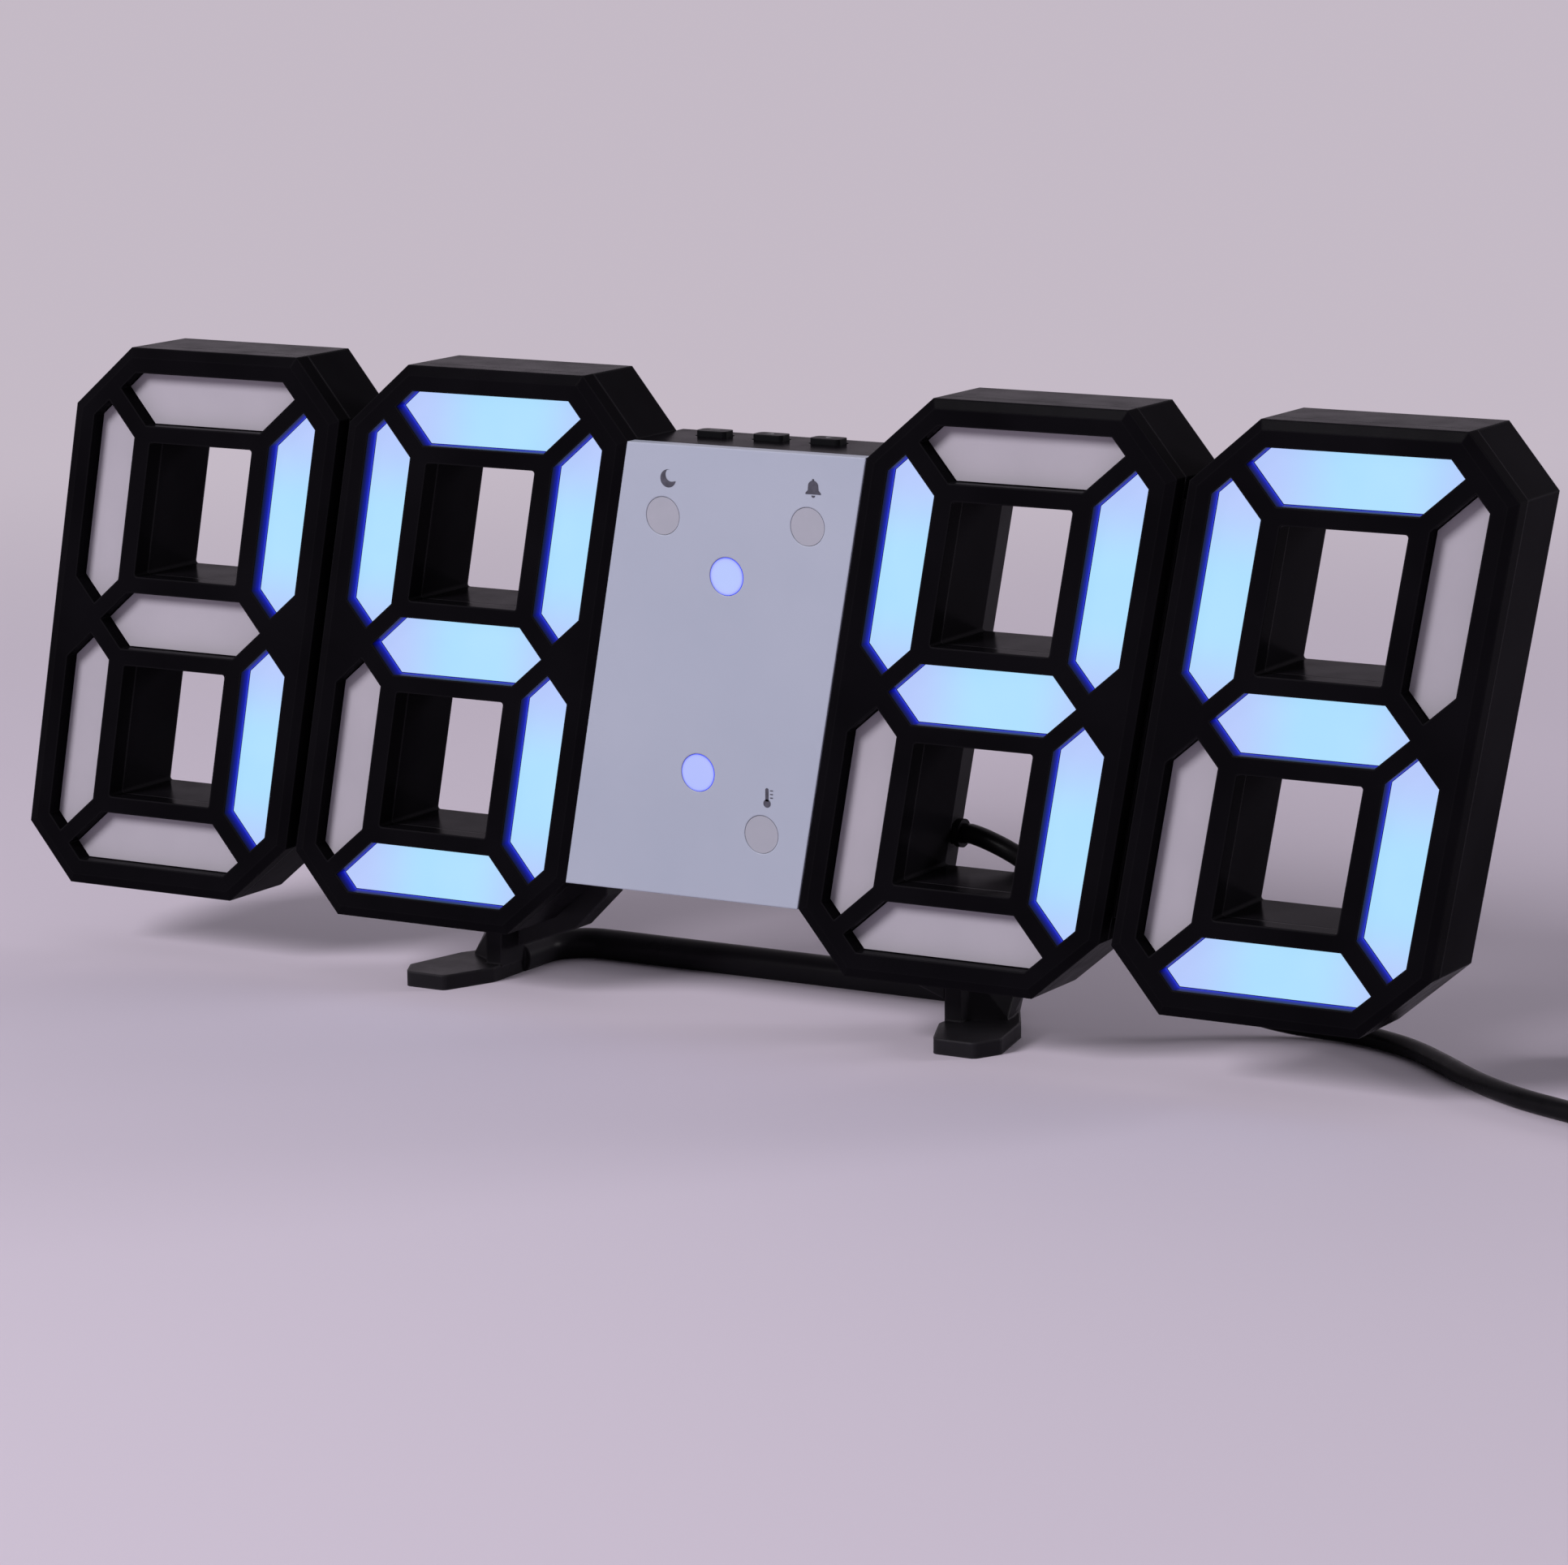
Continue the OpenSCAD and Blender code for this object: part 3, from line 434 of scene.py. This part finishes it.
def dot_unlit():
    """Small round lens with its light off, close to the panel in tone."""
    material, tree, shader = finish("dot_unlit", Specular_IOR_Level=0.3, Roughness=0.42)
    vary(tree, shader, "Base Color", noise(tree, 200, 3), (0.322, 0.324, 0.379), (0.342, 0.34, 0.399))
    surface(tree, shader, noise(tree, 2600, 2), depth=0.00002, strength=0.2)
    return material


def lens_core():
    """The lit lens's own body, seen only behind its glowing face."""
    material, tree, shader = finish("lens_core", Specular_IOR_Level=0.2, Roughness=0.5, Emission_Strength=1)
    colour = drift(tree, noise(tree, 120, 2), (0.02, 0.03, 0.55), (0.03, 0.05, 0.7))
    tree.links.new(colour, shader.inputs["Base Color"])
    tree.links.new(colour, shader.inputs["Emission Color"])
    return material


# Glow from a lens's rim inwards, in the middle of a segment and at its ends
MIDDLE_GLOW = [
    (0.0, (0.01, 0.014, 0.50)), (0.07, (0.07, 0.10, 0.86)), (0.15, (0.28, 0.39, 0.95)),
    (0.3, (0.42, 0.62, 0.97)), (0.8, (0.432, 0.745, 0.985)),
]
TIP_GLOW = [
    (0.0, (0.01, 0.012, 0.50)), (0.07, (0.08, 0.09, 0.86)), (0.15, (0.30, 0.34, 0.95)),
    (0.3, (0.47, 0.53, 0.965)), (0.8, (0.485, 0.60, 0.97)),
]
# Glow down the wall of a lit opening, from the front to the lens
SPILL_GLOW = [
    (0.0, (0.0004, 0.0004, 0.01)), (0.4, (0.001, 0.0015, 0.10)),
    (0.78, (0.003, 0.006, 0.34)), (1.0, (0.03, 0.05, 0.72)),
]
# The palest place along a segment, as a share of its half length past its middle
PALEST = 0.14


def lens_glow():
    """Face of a lit lens: pale blue in the middle, lavender at the ends, deeper blue along the rim."""
    material, tree, shader = finish("lens_glow", Specular_IOR_Level=0.1, Roughness=0.45, Emission_Strength=1)
    shader.inputs["Base Color"].default_value = (0.01, 0.012, 0.02, 1)
    rim = attribute(tree, "rim")
    from_palest = node(tree, "Math", [(0, attribute(tree, "along"))], operation="SUBTRACT")
    from_palest.inputs[1].default_value = PALEST
    far = node(tree, "Math", [(0, from_palest.outputs["Value"])], operation="ABSOLUTE").outputs["Value"]
    share = ramp(tree, far, [(0.22, grey(0)), (1.0, grey(1))], "EASE")
    glow = mixed(tree, share, ramp(tree, rim, MIDDLE_GLOW), ramp(tree, rim, TIP_GLOW))
    haze = drift(tree, noise(tree, 110, 2), (0.95, 0.975, 1), grey(1))
    tree.links.new(multiply(tree, glow, haze), shader.inputs["Emission Color"])
    return material


def spill_glow():
    """Light spilled on the wall of a lit opening, deep blue and fading to the front."""
    material, tree, shader = finish("spill_glow", Specular_IOR_Level=0.04, Roughness=0.4, Emission_Strength=1)
    shader.inputs["Base Color"].default_value = (0.003, 0.003, 0.006, 1)
    tree.links.new(ramp(tree, attribute(tree, "down"), SPILL_GLOW), shader.inputs["Emission Color"])
    return material


def panel_finish():
    """Pale satin panel with a faint drift of tone."""
    material, tree, shader = finish("panel_grey", Specular_IOR_Level=0.35, Roughness=0.38)
    vary(tree, shader, "Base Color", noise(tree, 45, 3), (0.342, 0.369, 0.459), (0.366, 0.39, 0.479))
    surface(tree, shader, noise(tree, 3200, 2), depth=0.000012, strength=0.2, round_edges=0.0003)
    return material


def cord_jacket():
    """Smooth black lead jacket with a fine grain."""
    material, tree, shader = finish("cord_jacket", Specular_IOR_Level=0.05)
    vary(tree, shader, "Base Color", noise(tree, 140, 3), (0.0035, 0.0033, 0.004), (0.006, 0.0056, 0.0065))
    vary(tree, shader, "Roughness", noise(tree, 420, 3), grey(0.24), grey(0.38))
    surface(tree, shader, noise(tree, 2400, 2), depth=0.00002, strength=0.2)
    return material


def metal(name, tone, rough):
    """Bare metal with a faint, uneven polish."""
    material, tree, shader = finish(name, Metallic=1.0)
    vary(tree, shader, "Base Color", noise(tree, 350, 3, 0.6), scaled(tone, 0.93), tone)
    vary(tree, shader, "Roughness", noise(tree, 700, 3), grey(rough - 0.03), grey(rough + 0.04))
    surface(tree, shader, noise(tree, 2600, 2), depth=0.000004, strength=0.15, round_edges=0.00015)
    return material


def board_finish():
    """Green circuit board with its weave showing faintly."""
    material, tree, shader = finish("board_green", Specular_IOR_Level=0.5, Roughness=0.35)
    vary(tree, shader, "Base Color", noise(tree, 700, 3), (0.02, 0.12, 0.045), (0.035, 0.18, 0.07))
    surface(tree, shader, noise(tree, 2500, 2), depth=0.00002, strength=0.2)
    return material


def led_finish():
    """Cream body of a light-emitting diode."""
    material, tree, shader = finish("led_white", Specular_IOR_Level=0.5, Roughness=0.25)
    vary(tree, shader, "Base Color", noise(tree, 900, 2), (0.75, 0.75, 0.6), (0.85, 0.85, 0.72))
    return material


def woven_strap():
    """Black hook strap: short loops in rows across the band."""
    material, tree, shader = finish("woven_strap", Specular_IOR_Level=0.05, Roughness=0.8)
    wave = node(
        tree, "TexWave", [("Vector", place_of(tree))],
        Scale=420.0, Distortion=1.5, bands_direction="DIAGONAL",
    )
    rows = wave.outputs["Fac"]
    colour = ramp(tree, rows, [(0.2, (0.005, 0.005, 0.0058)), (0.8, (0.017, 0.016, 0.018))])
    tree.links.new(colour, shader.inputs["Base Color"])
    surface(tree, shader, rows, depth=0.00012, strength=0.5)
    return material


def ink(name, tone):
    """Printed ink, slightly uneven."""
    material, tree, shader = finish(name, Specular_IOR_Level=0.2, Roughness=0.5)
    vary(tree, shader, "Base Color", noise(tree, 1500, 2), scaled(tone, 0.8), scaled(tone, 1.2))
    return material


def dress(names, material):
    """Give solids one finish all over."""
    for name in names:
        data = NODES[name].data
        if not data.materials:
            data.materials.append(material)
        for i in range(len(data.materials)):
            data.materials[i] = material


# Power lead: the free stretch over the same points as the solid, then the tied coil
COIL_X, COIL_D, COIL_R, COIL_TURNS, COIL_STEP = 180.0, 20.5, 22.0, 4, 3.3
COIL_LIFT = 0.7
COIL_Z = COIL_LIFT + CORD_D / 2
# Points in a turn, and for the tail its points, its level stretch and the length of its fall
COIL_PARTS = 32
TAIL_PARTS, TAIL_LEVEL, TAIL_FALL = 8, 6, 14
# Where the lead leaves the grommet, how round it is drawn and its least step
GROMMET_X, EXIT_D, EXIT_H = 29.938, 17.25, 27.8
LEAD_SIDES = 14
LEAST_STEP = 0.4
# The strap round the coil
TIE_THICK, TIE_BEND, BEND_PARTS = 0.6, 1.9, 6

# Plug at the lead's end, on the coil's outer turn; rows run from its cable end, the insert from its tip
PLUG_X, PLUG_D, PLUG_Z, SHELL_TIP = 156.0, COIL_D + COIL_R, 4.0, 116.0
GRIP_BAR, GRIP_COUNT, GRIP_FROM, GRIP_STEP = (0.7, 9.2, 0.5), 6, 11, 1.6
RELIEF_R, RELIEF_THICK, RELIEF_COUNT, RELIEF_FROM, RELIEF_STEP = 2.25, 0.42, 5, 1.2, 1.4
INSERT_HALF, INSERT_LENGTH, INSERT_TOP, INSERT_DROP = 5.65, 10.9, 0.03, 1.9
LIP_FRONT, LIP_BACK = -0.03, 0.02
CONTACT_D, CONTACT_HALF, CONTACT_FROM, CONTACT_TO, CONTACT_TOP = (-3.5, -1, 1, 3.5), 0.5, 1.2, 9, 0.08

# Places from the grommet: along, back, and the share of the exit's height that is left
DROP = [
    (0, 0, 1), (1.2, 0, 1), (3.8, 0, 0.975), (7.4, 0, 0.924), (11.4, 0.8, 0.833), (16.4, 2.6, 0.682),
    (21.4, 5.2, 0.508), (26.4, 8.6, 0.333), (31.4, 12.2, 0.182), (36.4, 15.6, 0.068), (41.4, 17.8, 0.015),
    (47.4, 18.6, 0), (53.4, 17.6, 0),
]
# Places on the floor: x, depth, and the share of the coil's lift
FLOOR_RUN = [
    (91, 31.2, 0), (98, 25.6, 0), (104, 20.2, 0), (109, 16.4, 0), (115, 12.8, 0), (122, 9.8, 0),
    (130, 7, 0), (138, 4.4, 0), (146, 2.2, 0.15), (154, 0.4, 0.3), (162, -0.8, 0.6), (170, -1.4, 0.85),
    (174, -1.5, 1), (177, -1.5, 1),
]
ROUTE = [(GROMMET_X + x, EXIT_D + d, CORD_D / 2 + (EXIT_H - CORD_D / 2) * share) for x, d, share in DROP]
ROUTE += [(x, d, CORD_D / 2 + COIL_LIFT * share) for x, d, share in FLOOR_RUN]


def ease(x):
    """A soft step from 0 to 1."""
    x = min(max(x, 0.0), 1.0)
    return x * x * (3 - 2 * x)


def coil_points():
    """In along the lower layer, out along the upper one, then a tail that comes down to the plug."""
    middle = COIL_TURNS + 0.25
    least = COIL_R - COIL_STEP * middle
    top = COIL_Z + COIL_STEP
    for i in range(int(2 * middle * COIL_PARTS) + 1):
        t = i / COIL_PARTS
        r = least + COIL_STEP * abs(t - middle)
        a = 2 * math.pi * t - math.pi / 2
        z = COIL_Z + COIL_STEP * ease((t - COIL_TURNS) * 2)
        yield (COIL_X + r * math.cos(a), COIL_D + r * math.sin(a), z)
    for i in range(1, TAIL_PARTS + 1):
        x = (COIL_X - PLUG_X) * i / TAIL_PARTS
        yield (COIL_X - x, PLUG_D, top + (PLUG_Z - top) * ease((x - TAIL_LEVEL) / TAIL_FALL))


def smooth_route(points, parts):
    """A smooth line through all the points, each stretch in so many parts."""
    points = [Vector(p) for p in points]
    line = []
    for i in range(len(points) - 1):
        a, b, c, d = points[max(i - 1, 0)], points[i], points[i + 1], points[min(i + 2, len(points) - 1)]
        for j in range(parts):
            t = j / parts
            square = (2 * a - 5 * b + 4 * c - d) * t * t
            cube = (3 * b - a - 3 * c + d) * t ** 3
            line.append(0.5 * (2 * b + (c - a) * t + square + cube))
    return line + [points[-1]]


def shell_box(x0, x1, middle, half, z0, z1):
    """Low and high corner of a box in the plug's shell, from the shell's tip and middle."""
    low = at(SHELL_TIP + x0, PLUG_D + middle - half, PLUG_Z + z0)
    high = at(SHELL_TIP + x1, PLUG_D + middle + half, PLUG_Z + z1)
    return low, high


def plug_details(plastic, insert, gold):
    """Grip bars and relief rings on the plug, the insert in its shell and the insert's four contacts."""
    grip = make_row(
        "plug_grip", bar_form, {"Size": ("Vector", scaled(GRIP_BAR, 0.001))}, GRIP_COUNT,
        start=at(PLUG_X - GRIP_FROM, PLUG_D, 2 * PLUG_Z), step=(-GRIP_STEP / 1000, 0, 0),
        material=plastic,
    )
    ring = {"Radius": ("Float", RELIEF_R / 1000), "Thickness": ("Float", RELIEF_THICK / 1000)}
    rings = make_row(
        "relief_rings", ring_form, ring, RELIEF_COUNT,
        start=at(PLUG_X - RELIEF_FROM, PLUG_D, PLUG_Z), step=(-RELIEF_STEP / 1000, 0, 0),
        material=plastic,
    )
    tongue = boxes("plug_insert", [
        shell_box(LIP_BACK, INSERT_LENGTH, 0, INSERT_HALF, 0, INSERT_TOP),
        shell_box(LIP_FRONT, LIP_BACK, 0, INSERT_HALF, -INSERT_DROP, INSERT_TOP),
    ], insert)
    contacts = boxes("plug_contacts", [
        shell_box(CONTACT_FROM, CONTACT_TO, d, CONTACT_HALF, INSERT_TOP, CONTACT_TOP) for d in CONTACT_D
    ], gold)
    return [grip, rings, tongue, contacts]


def make_tie(strap):
    """The coil's strap: a flat band bent round the turns, in place of its plain loop."""
    lo, hi = (Vector(corner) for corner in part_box("cord_tie"))
    rings = []
    for inset in (0.0, TIE_THICK / 1000):
        x0, x1, z0, z1 = lo.x + inset, hi.x - inset, lo.z + inset, hi.z - inset
        r = TIE_BEND / 1000 - inset
        corners = ((x1 - r, z0 + r, -90), (x1 - r, z1 - r, 0), (x0 + r, z1 - r, 90), (x0 + r, z0 + r, 180))
        rings.append([point for x, z, a in corners for point in arc(x, z, r, a, a + 90, BEND_PARTS)])
    n = len(rings[0])
    form = bmesh.new()
    verts = [form.verts.new((x, y, z)) for ring in rings for y in (lo.y, hi.y) for x, z in ring]
    for j in range(n):
        k = (j + 1) % n
        for a, b in ((0, 1), (1, 3), (3, 2), (2, 0)):
            form.faces.new([verts[i] for i in (a * n + j, b * n + j, b * n + k, a * n + k)])
    bmesh.ops.recalc_face_normals(form, faces=form.faces)
    piece = add_piece(mesh_of("coil_strap", form), strap)
    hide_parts("cord_tie")
    return piece


def make_lead(jacket, more_pieces):
    """The lead as one smooth tube from the grommet to the plug."""
    line = [at(*p) for p in smooth_route(ROUTE, parts=4) + [Vector(p) for p in coil_points()]]
    line = [p for i, p in enumerate(line) if i == 0 or (p - line[i - 1]).length > LEAST_STEP / 1000]
    lead = add_piece(tube("power_lead", line, CORD_D / 2000, LEAD_SIDES), jacket)
    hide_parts("cord", "cord_coil")


# Faces of the lenses, and the light on the lit openings' walls
RIM_STEPS = (0.25, 0.35, 0.5, 0.6, 0.7, 0.7)
RIM_REACH = 3.6
FACE_LIFT = 0.02
SPILL_DEPTHS = (0.12, 0.5, 1.0, 1.6, LENS_RECESS - 0.03)
SPILL_CLEAR = 0.02
DOT_SIDES = 40
DOT_RINGS = (1.0, 0.9, 0.75, 0.55, 0.3)
DOT_SHRINK = 0.985
DOT_RIM, DOT_RISE = 0.16, 1.2
# Height of each dot, its tint as a place along a segment, and its fullest glow as a place from the rim
DOTS = ((COLON_V, -0.72, 0.5), (-COLON_V, -0.92, 0.29))


def make_lens_faces(name, pairs, material):
    """Thin faces on the lenses, with the distance from the rim and the place along each segment."""
    form = bmesh.new()
    rim = form.verts.layers.float.new("rim")
    along = form.verts.layers.float.new("along")
    for digit, letter in pairs:
        outline = segment_outline(letter, -LENS_CLEAR)
        axis, sign = (0, 1) if letter in "adg" else (1, -1)
        centre = sum(p[axis] for p in outline) / len(outline)
        half = max(abs(p[axis] - centre) for p in outline)
        shift = digit_shift(digit)
        corners = [form.verts.new(body_at(u, LENS_RECESS - FACE_LIFT, v) + shift) for u, v in outline]
        face = form.faces.new(corners)
        made, inset = set(face.verts), 0.0
        for step in RIM_STEPS:
            before = set(form.verts)
            bmesh.ops.inset_region(form, faces=[face], thickness=step / 1000, use_even_offset=True)
            inner = set(face.verts)
            for vert in set(form.verts) - before - inner:
                vert[rim] = inset / RIM_REACH
            inset += step
            for vert in inner:
                vert[rim] = inset / RIM_REACH
            made |= set(form.verts) - before
        for vert in made:
            v = vert.co.z * 1000 - MID_Z
            u = vert.co.x * 1000 - DIGIT_X[digit - 1] - v * LEAN
            vert[along] = sign * ((u, v)[axis] - centre) / half
    add_piece(mesh_of(name, form), material)


def make_spill(glow):
    """Bands just inside the lit openings' walls, with how far down each row lies."""
    points, faces, down = [], [], []
    last = len(SPILL_DEPTHS) - 1
    for digit, letter in LIT:
        outline = segment_outline(letter, -SPILL_CLEAR)
        n, start = len(outline), len(points)
        for row, depth in enumerate(SPILL_DEPTHS):
            for u, v in outline:
                points.append(body_at(u, depth, v) + digit_shift(digit))
                down.append(row / last)
        for row in range(last):
            a = start + row * n
            for j in range(n):
                k = (j + 1) % n
                faces.append((a + j, a + k, a + n + k, a + n + j))
    mesh = mesh_from("opening_spill", points, faces)
    mesh.attributes.new("down", "FLOAT", "POINT").data.foreach_set("value", down)
    add_piece(mesh, glow)


def make_colon_faces(glow):
    """The two round dots, the lower one a little deeper in tint."""
    form = bmesh.new()
    rim = form.verts.layers.float.new("rim")
    along = form.verts.layers.float.new("along")
    for v, tint, fullest in DOTS:
        centre = body_at(0, PANEL_BACK - FACE_LIFT, v) * 1000
        rings = []
        for share in DOT_RINGS:
            r = DOT_R * share * DOT_SHRINK
            ring = []
            for j in range(DOT_SIDES):
                a = 2 * math.pi * j / DOT_SIDES
                place = Vector((centre.x + r * math.cos(a), centre.y, centre.z + r * math.sin(a)))
                vert = form.verts.new(place / 1000)
                vert[rim] = min(DOT_RIM + DOT_RISE * (1 - share), fullest)
                vert[along] = tint
                ring.append(vert)
            rings.append(ring)
        for outer, inner in zip(rings, rings[1:]):
            for j in range(DOT_SIDES):
                k = (j + 1) % DOT_SIDES
                form.faces.new((outer[j], outer[k], inner[k], inner[j]))
        form.faces.new(rings[-1])
    add_piece(mesh_of("colon_faces", form), glow)


# Small marks over the indicators: a crescent, a bell and a thermometer
CRESCENT = [arc(0, 0, 1.25, 75, 345, 30) + arc(0.53, 0.53, 0.955, 297, 123, 20)[1:-1]]
BELL = [
    [(-1.2, -0.75), (1.2, -0.75), (1.2, -0.55), (0.85, -0.2)]
    + arc(0, 0.35, 0.8, 0, 180, 14) + [(-0.85, -0.2), (-1.2, -0.55)],
    arc(0, -0.9, 0.3, 180, 360, 10),
    bar_outline(-0.16, 1.1, 0.16, 1.35),
]
THERMOMETER = [
    arc(0, -0.8, 0.58, 0, 345, 22),
    [(-0.26, -0.5), (0.26, -0.5)] + arc(0, 1.1, 0.26, 0, 180, 8),
    bar_outline(0.5, 0.95, 0.95, 1.1),
    bar_outline(0.5, 0.45, 0.95, 0.6),
    bar_outline(0.5, -0.05, 0.95, 0.1),
]
MARK_RISE, MARK_LIFT = 5.2, 0.03
MARKS = ((CRESCENT, -MARK_U, MARK_V), (BELL, MARK_U, MARK_V), (THERMOMETER, MARK_U, -MARK_V))

# Marks on the buttons: a bar, an arrow up and an arrow down
BUTTON_MARKS = {
    "set": bar_outline(-0.8, -0.22, 0.8, 0.22),
    "up": [(-0.75, -0.5), (0.75, -0.5), (0, 0.6)],
    "down": [(-0.75, 0.5), (0, -0.6), (0.75, 0.5)],
}


def make_marks(mark_ink):
    """The three marks, each over its indicator."""
    points, faces = [], []
    for shape, u, v in MARKS:
        centre = body_at(u, PANEL_BACK - MARK_LIFT, v + MARK_RISE)
        for outline in shape:
            faces.append(tuple(range(len(points), len(points) + len(outline))))
            points += [centre + Vector((x, 0, z)) / 1000 for x, z in outline]
    add_piece(mesh_from("panel_marks", points, faces), mark_ink)


def make_button_marks(mark_ink):
    """Each mark rides its own button."""
    for key, outline in BUTTON_MARKS.items():
        lo, hi = (Vector(corner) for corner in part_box(key + "_button"))
        centre = Vector(((lo.x + hi.x) / 2, (lo.y + hi.y) / 2, hi.z + FACE_LIFT / 1000))
        points = [centre + Vector((x, y, 0)) / 1000 for x, y in outline]
        mesh = mesh_from(key + "_mark", points, [tuple(range(len(outline)))])
        add_piece(mesh, mark_ink, key + "_key")


# Room: pale floor that fades into the backdrop's colour, even fill and soft lights
BACKDROP = (0.556, 0.492, 0.565)
FLOOR_REACH = 3
FILL_COLOUR, FILL_STRENGTH = (0.97, 0.96, 1, 1), 0.28
LIGHT_COLOUR = (1, 0.975, 1)
LIGHT_AIM = Vector((0, 0, 0.05))
# Name, place in metres, width in metres, power in watts
LIGHTS = (
    ("upper_left", (-0.5, -1.25, 0.85), 0.6, 21),
    ("behind", (-0.45, 1.1, 1.3), 0.9, 1),
    ("right_back", (1.3, 1.0, 0.4), 0.5, 10),
)


def make_floor():
    """The floor, its own colour near the clock and the backdrop's further away."""
    square = bar_outline(-FLOOR_REACH, -FLOOR_REACH, FLOOR_REACH, FLOOR_REACH)
    mesh = mesh_from("floor", [(x, y, 0) for x, y in square], [(0, 1, 2, 3)])
    material, tree, shader = finish("pale_floor", Roughness=0.7, Specular_IOR_Level=0.1)
    vary(tree, shader, "Base Color", noise(tree, 3, 2), (0.635, 0.563, 0.667), (0.65, 0.578, 0.682))
    away = node(tree, "VectorMath", [(0, place_of(tree))], operation="LENGTH").outputs["Value"]
    fade = ramp(tree, away, [(0.22, grey(0)), (0.62, grey(1))], "EASE")
    backdrop = node(tree, "Emission", Color=(*BACKDROP, 1), Strength=1.0).outputs["Emission"]
    mix = node(tree, "MixShader", [(0, fade), (1, shader.outputs["BSDF"]), (2, backdrop)])
    tree.links.new(mix.outputs["Shader"], tree.nodes["Material Output"].inputs["Surface"])
    mesh.materials.append(material)
    link_object("floor", mesh)


def make_world():
    """Even fill light, with the backdrop's colour where it is seen or mirrored."""
    world = bpy.data.worlds.new("studio")
    world.use_nodes = True
    tree = world.node_tree
    fill = tree.nodes["Background"]
    fill.inputs["Color"].default_value = FILL_COLOUR
    fill.inputs["Strength"].default_value = FILL_STRENGTH
    shown = node(tree, "Background", Color=(*BACKDROP, 1), Strength=1.0).outputs["Background"]
    path = node(tree, "LightPath")
    seen = path.outputs["Is Camera Ray"]
    for way in ("Is Glossy Ray", "Is Transmission Ray"):
        seen = node(tree, "Math", [(0, seen), (1, path.outputs[way])], operation="MAXIMUM").outputs["Value"]
    mix = node(tree, "MixShader", [(0, seen), (1, fill.outputs["Background"]), (2, shown)])
    tree.links.new(mix.outputs["Shader"], tree.nodes["World Output"].inputs["Surface"])
    bpy.context.scene.world = world


def add_light(name, place, size, power):
    """A round soft light turned to the clock and hidden from the camera."""
    data = bpy.data.lights.new(name, "AREA")
    data.shape = "DISK"
    data.size = size
    data.energy = power
    data.color = LIGHT_COLOUR
    light = link_object(name, data)
    light.location = place
    light.visible_camera = False
    light.rotation_euler = (LIGHT_AIM - Vector(place)).to_track_quat("-Z", "Y").to_euler()


def named(start):
    """Nodes whose names begin alike."""
    return [name for name in NODES if name.startswith(start)]


def segments(pairs):
    """Nodes of the segments in (digit, letter) pairs."""
    return ["segment_%d%s" % pair for pair in pairs]


# Camera and lead
place_camera()
jacket = cord_jacket()
dark_plastic = moulded_black("dark_plastic", (0.006, 0.006, 0.0068), rough=0.42, specular=0.1)
gold = metal("contact_gold", (0.83, 0.62, 0.3), rough=0.28)
plug_insert = moulded_black("plug_insert", (0.012, 0.012, 0.013), rough=0.5, specular=0.15)
make_lead(jacket, plug_details(dark_plastic, plug_insert, gold) + [make_tie(woven_strap())])

# Faces and marks
glow, unlit_lens = lens_glow(), lens_unlit()
make_lens_faces("lit_faces", LIT, glow)
make_lens_faces("unlit_faces", UNLIT, unlit_lens)
make_spill(spill_glow())
make_colon_faces(glow)
make_marks(ink("mark_ink", (0.065, 0.063, 0.085)))
make_button_marks(ink("button_ink", (0.16, 0.16, 0.17)))

# Finishes on the solids
shell = moulded_black("shell_black", (0.0036, 0.0032, 0.0042), rough=0.2, specular=0.004, edge=0.0004)
back = moulded_black(
    "back_black", (0.006, 0.0054, 0.0068),
    rough=0.2, specular=0.004, edge=0.0005, edge_highlight_tone=(0.032, 0.03, 0.034),
)
cover = moulded_black(
    "cover_black", (0.013, 0.0122, 0.0142),
    rough=0.42, specular=0.06, edge=0.0005, edge_highlight_tone=(0.036, 0.034, 0.038),
)
stand = moulded_black(
    "stand_black", (0.0125, 0.0115, 0.0138),
    rough=0.32, specular=0.03, edge=0.0005, edge_highlight_tone=(0.03, 0.028, 0.032),
)
button = moulded_black("button_black", (0.005, 0.005, 0.006), rough=0.4, specular=0.04, edge=0.0002)
dress(named("digit_frame") + ["centre_frame"], shell)
dress(named("digit_back"), back)
dress(["rear_cover"], cover)
dress(["stand"], stand)
dress(["set_button", "up_button", "down_button"], button)
dress(segments(LIT) + ["colon_lenses"], lens_core())
dress(segments(UNLIT), unlit_lens)
dress(["indicator_lenses"], dot_unlit())
dress(["centre_panel"], panel_finish())
dress(["button_switches", "buzzer", "usb_plug"], dark_plastic)
steel = metal("steel", (0.62, 0.62, 0.64), rough=0.3)
dress(["case_screws", "hinge_pins", "backup_cell", "usb_shell"], steel)
dress(["main_board", "led_boards"], board_finish())
dress(["leds"], led_finish())
dress(["cord_grommet"], jacket)

# Room and light
make_floor()
make_world()
for light in LIGHTS:
    add_light(*light)
bpy.context.scene.view_settings.view_transform = "Standard"
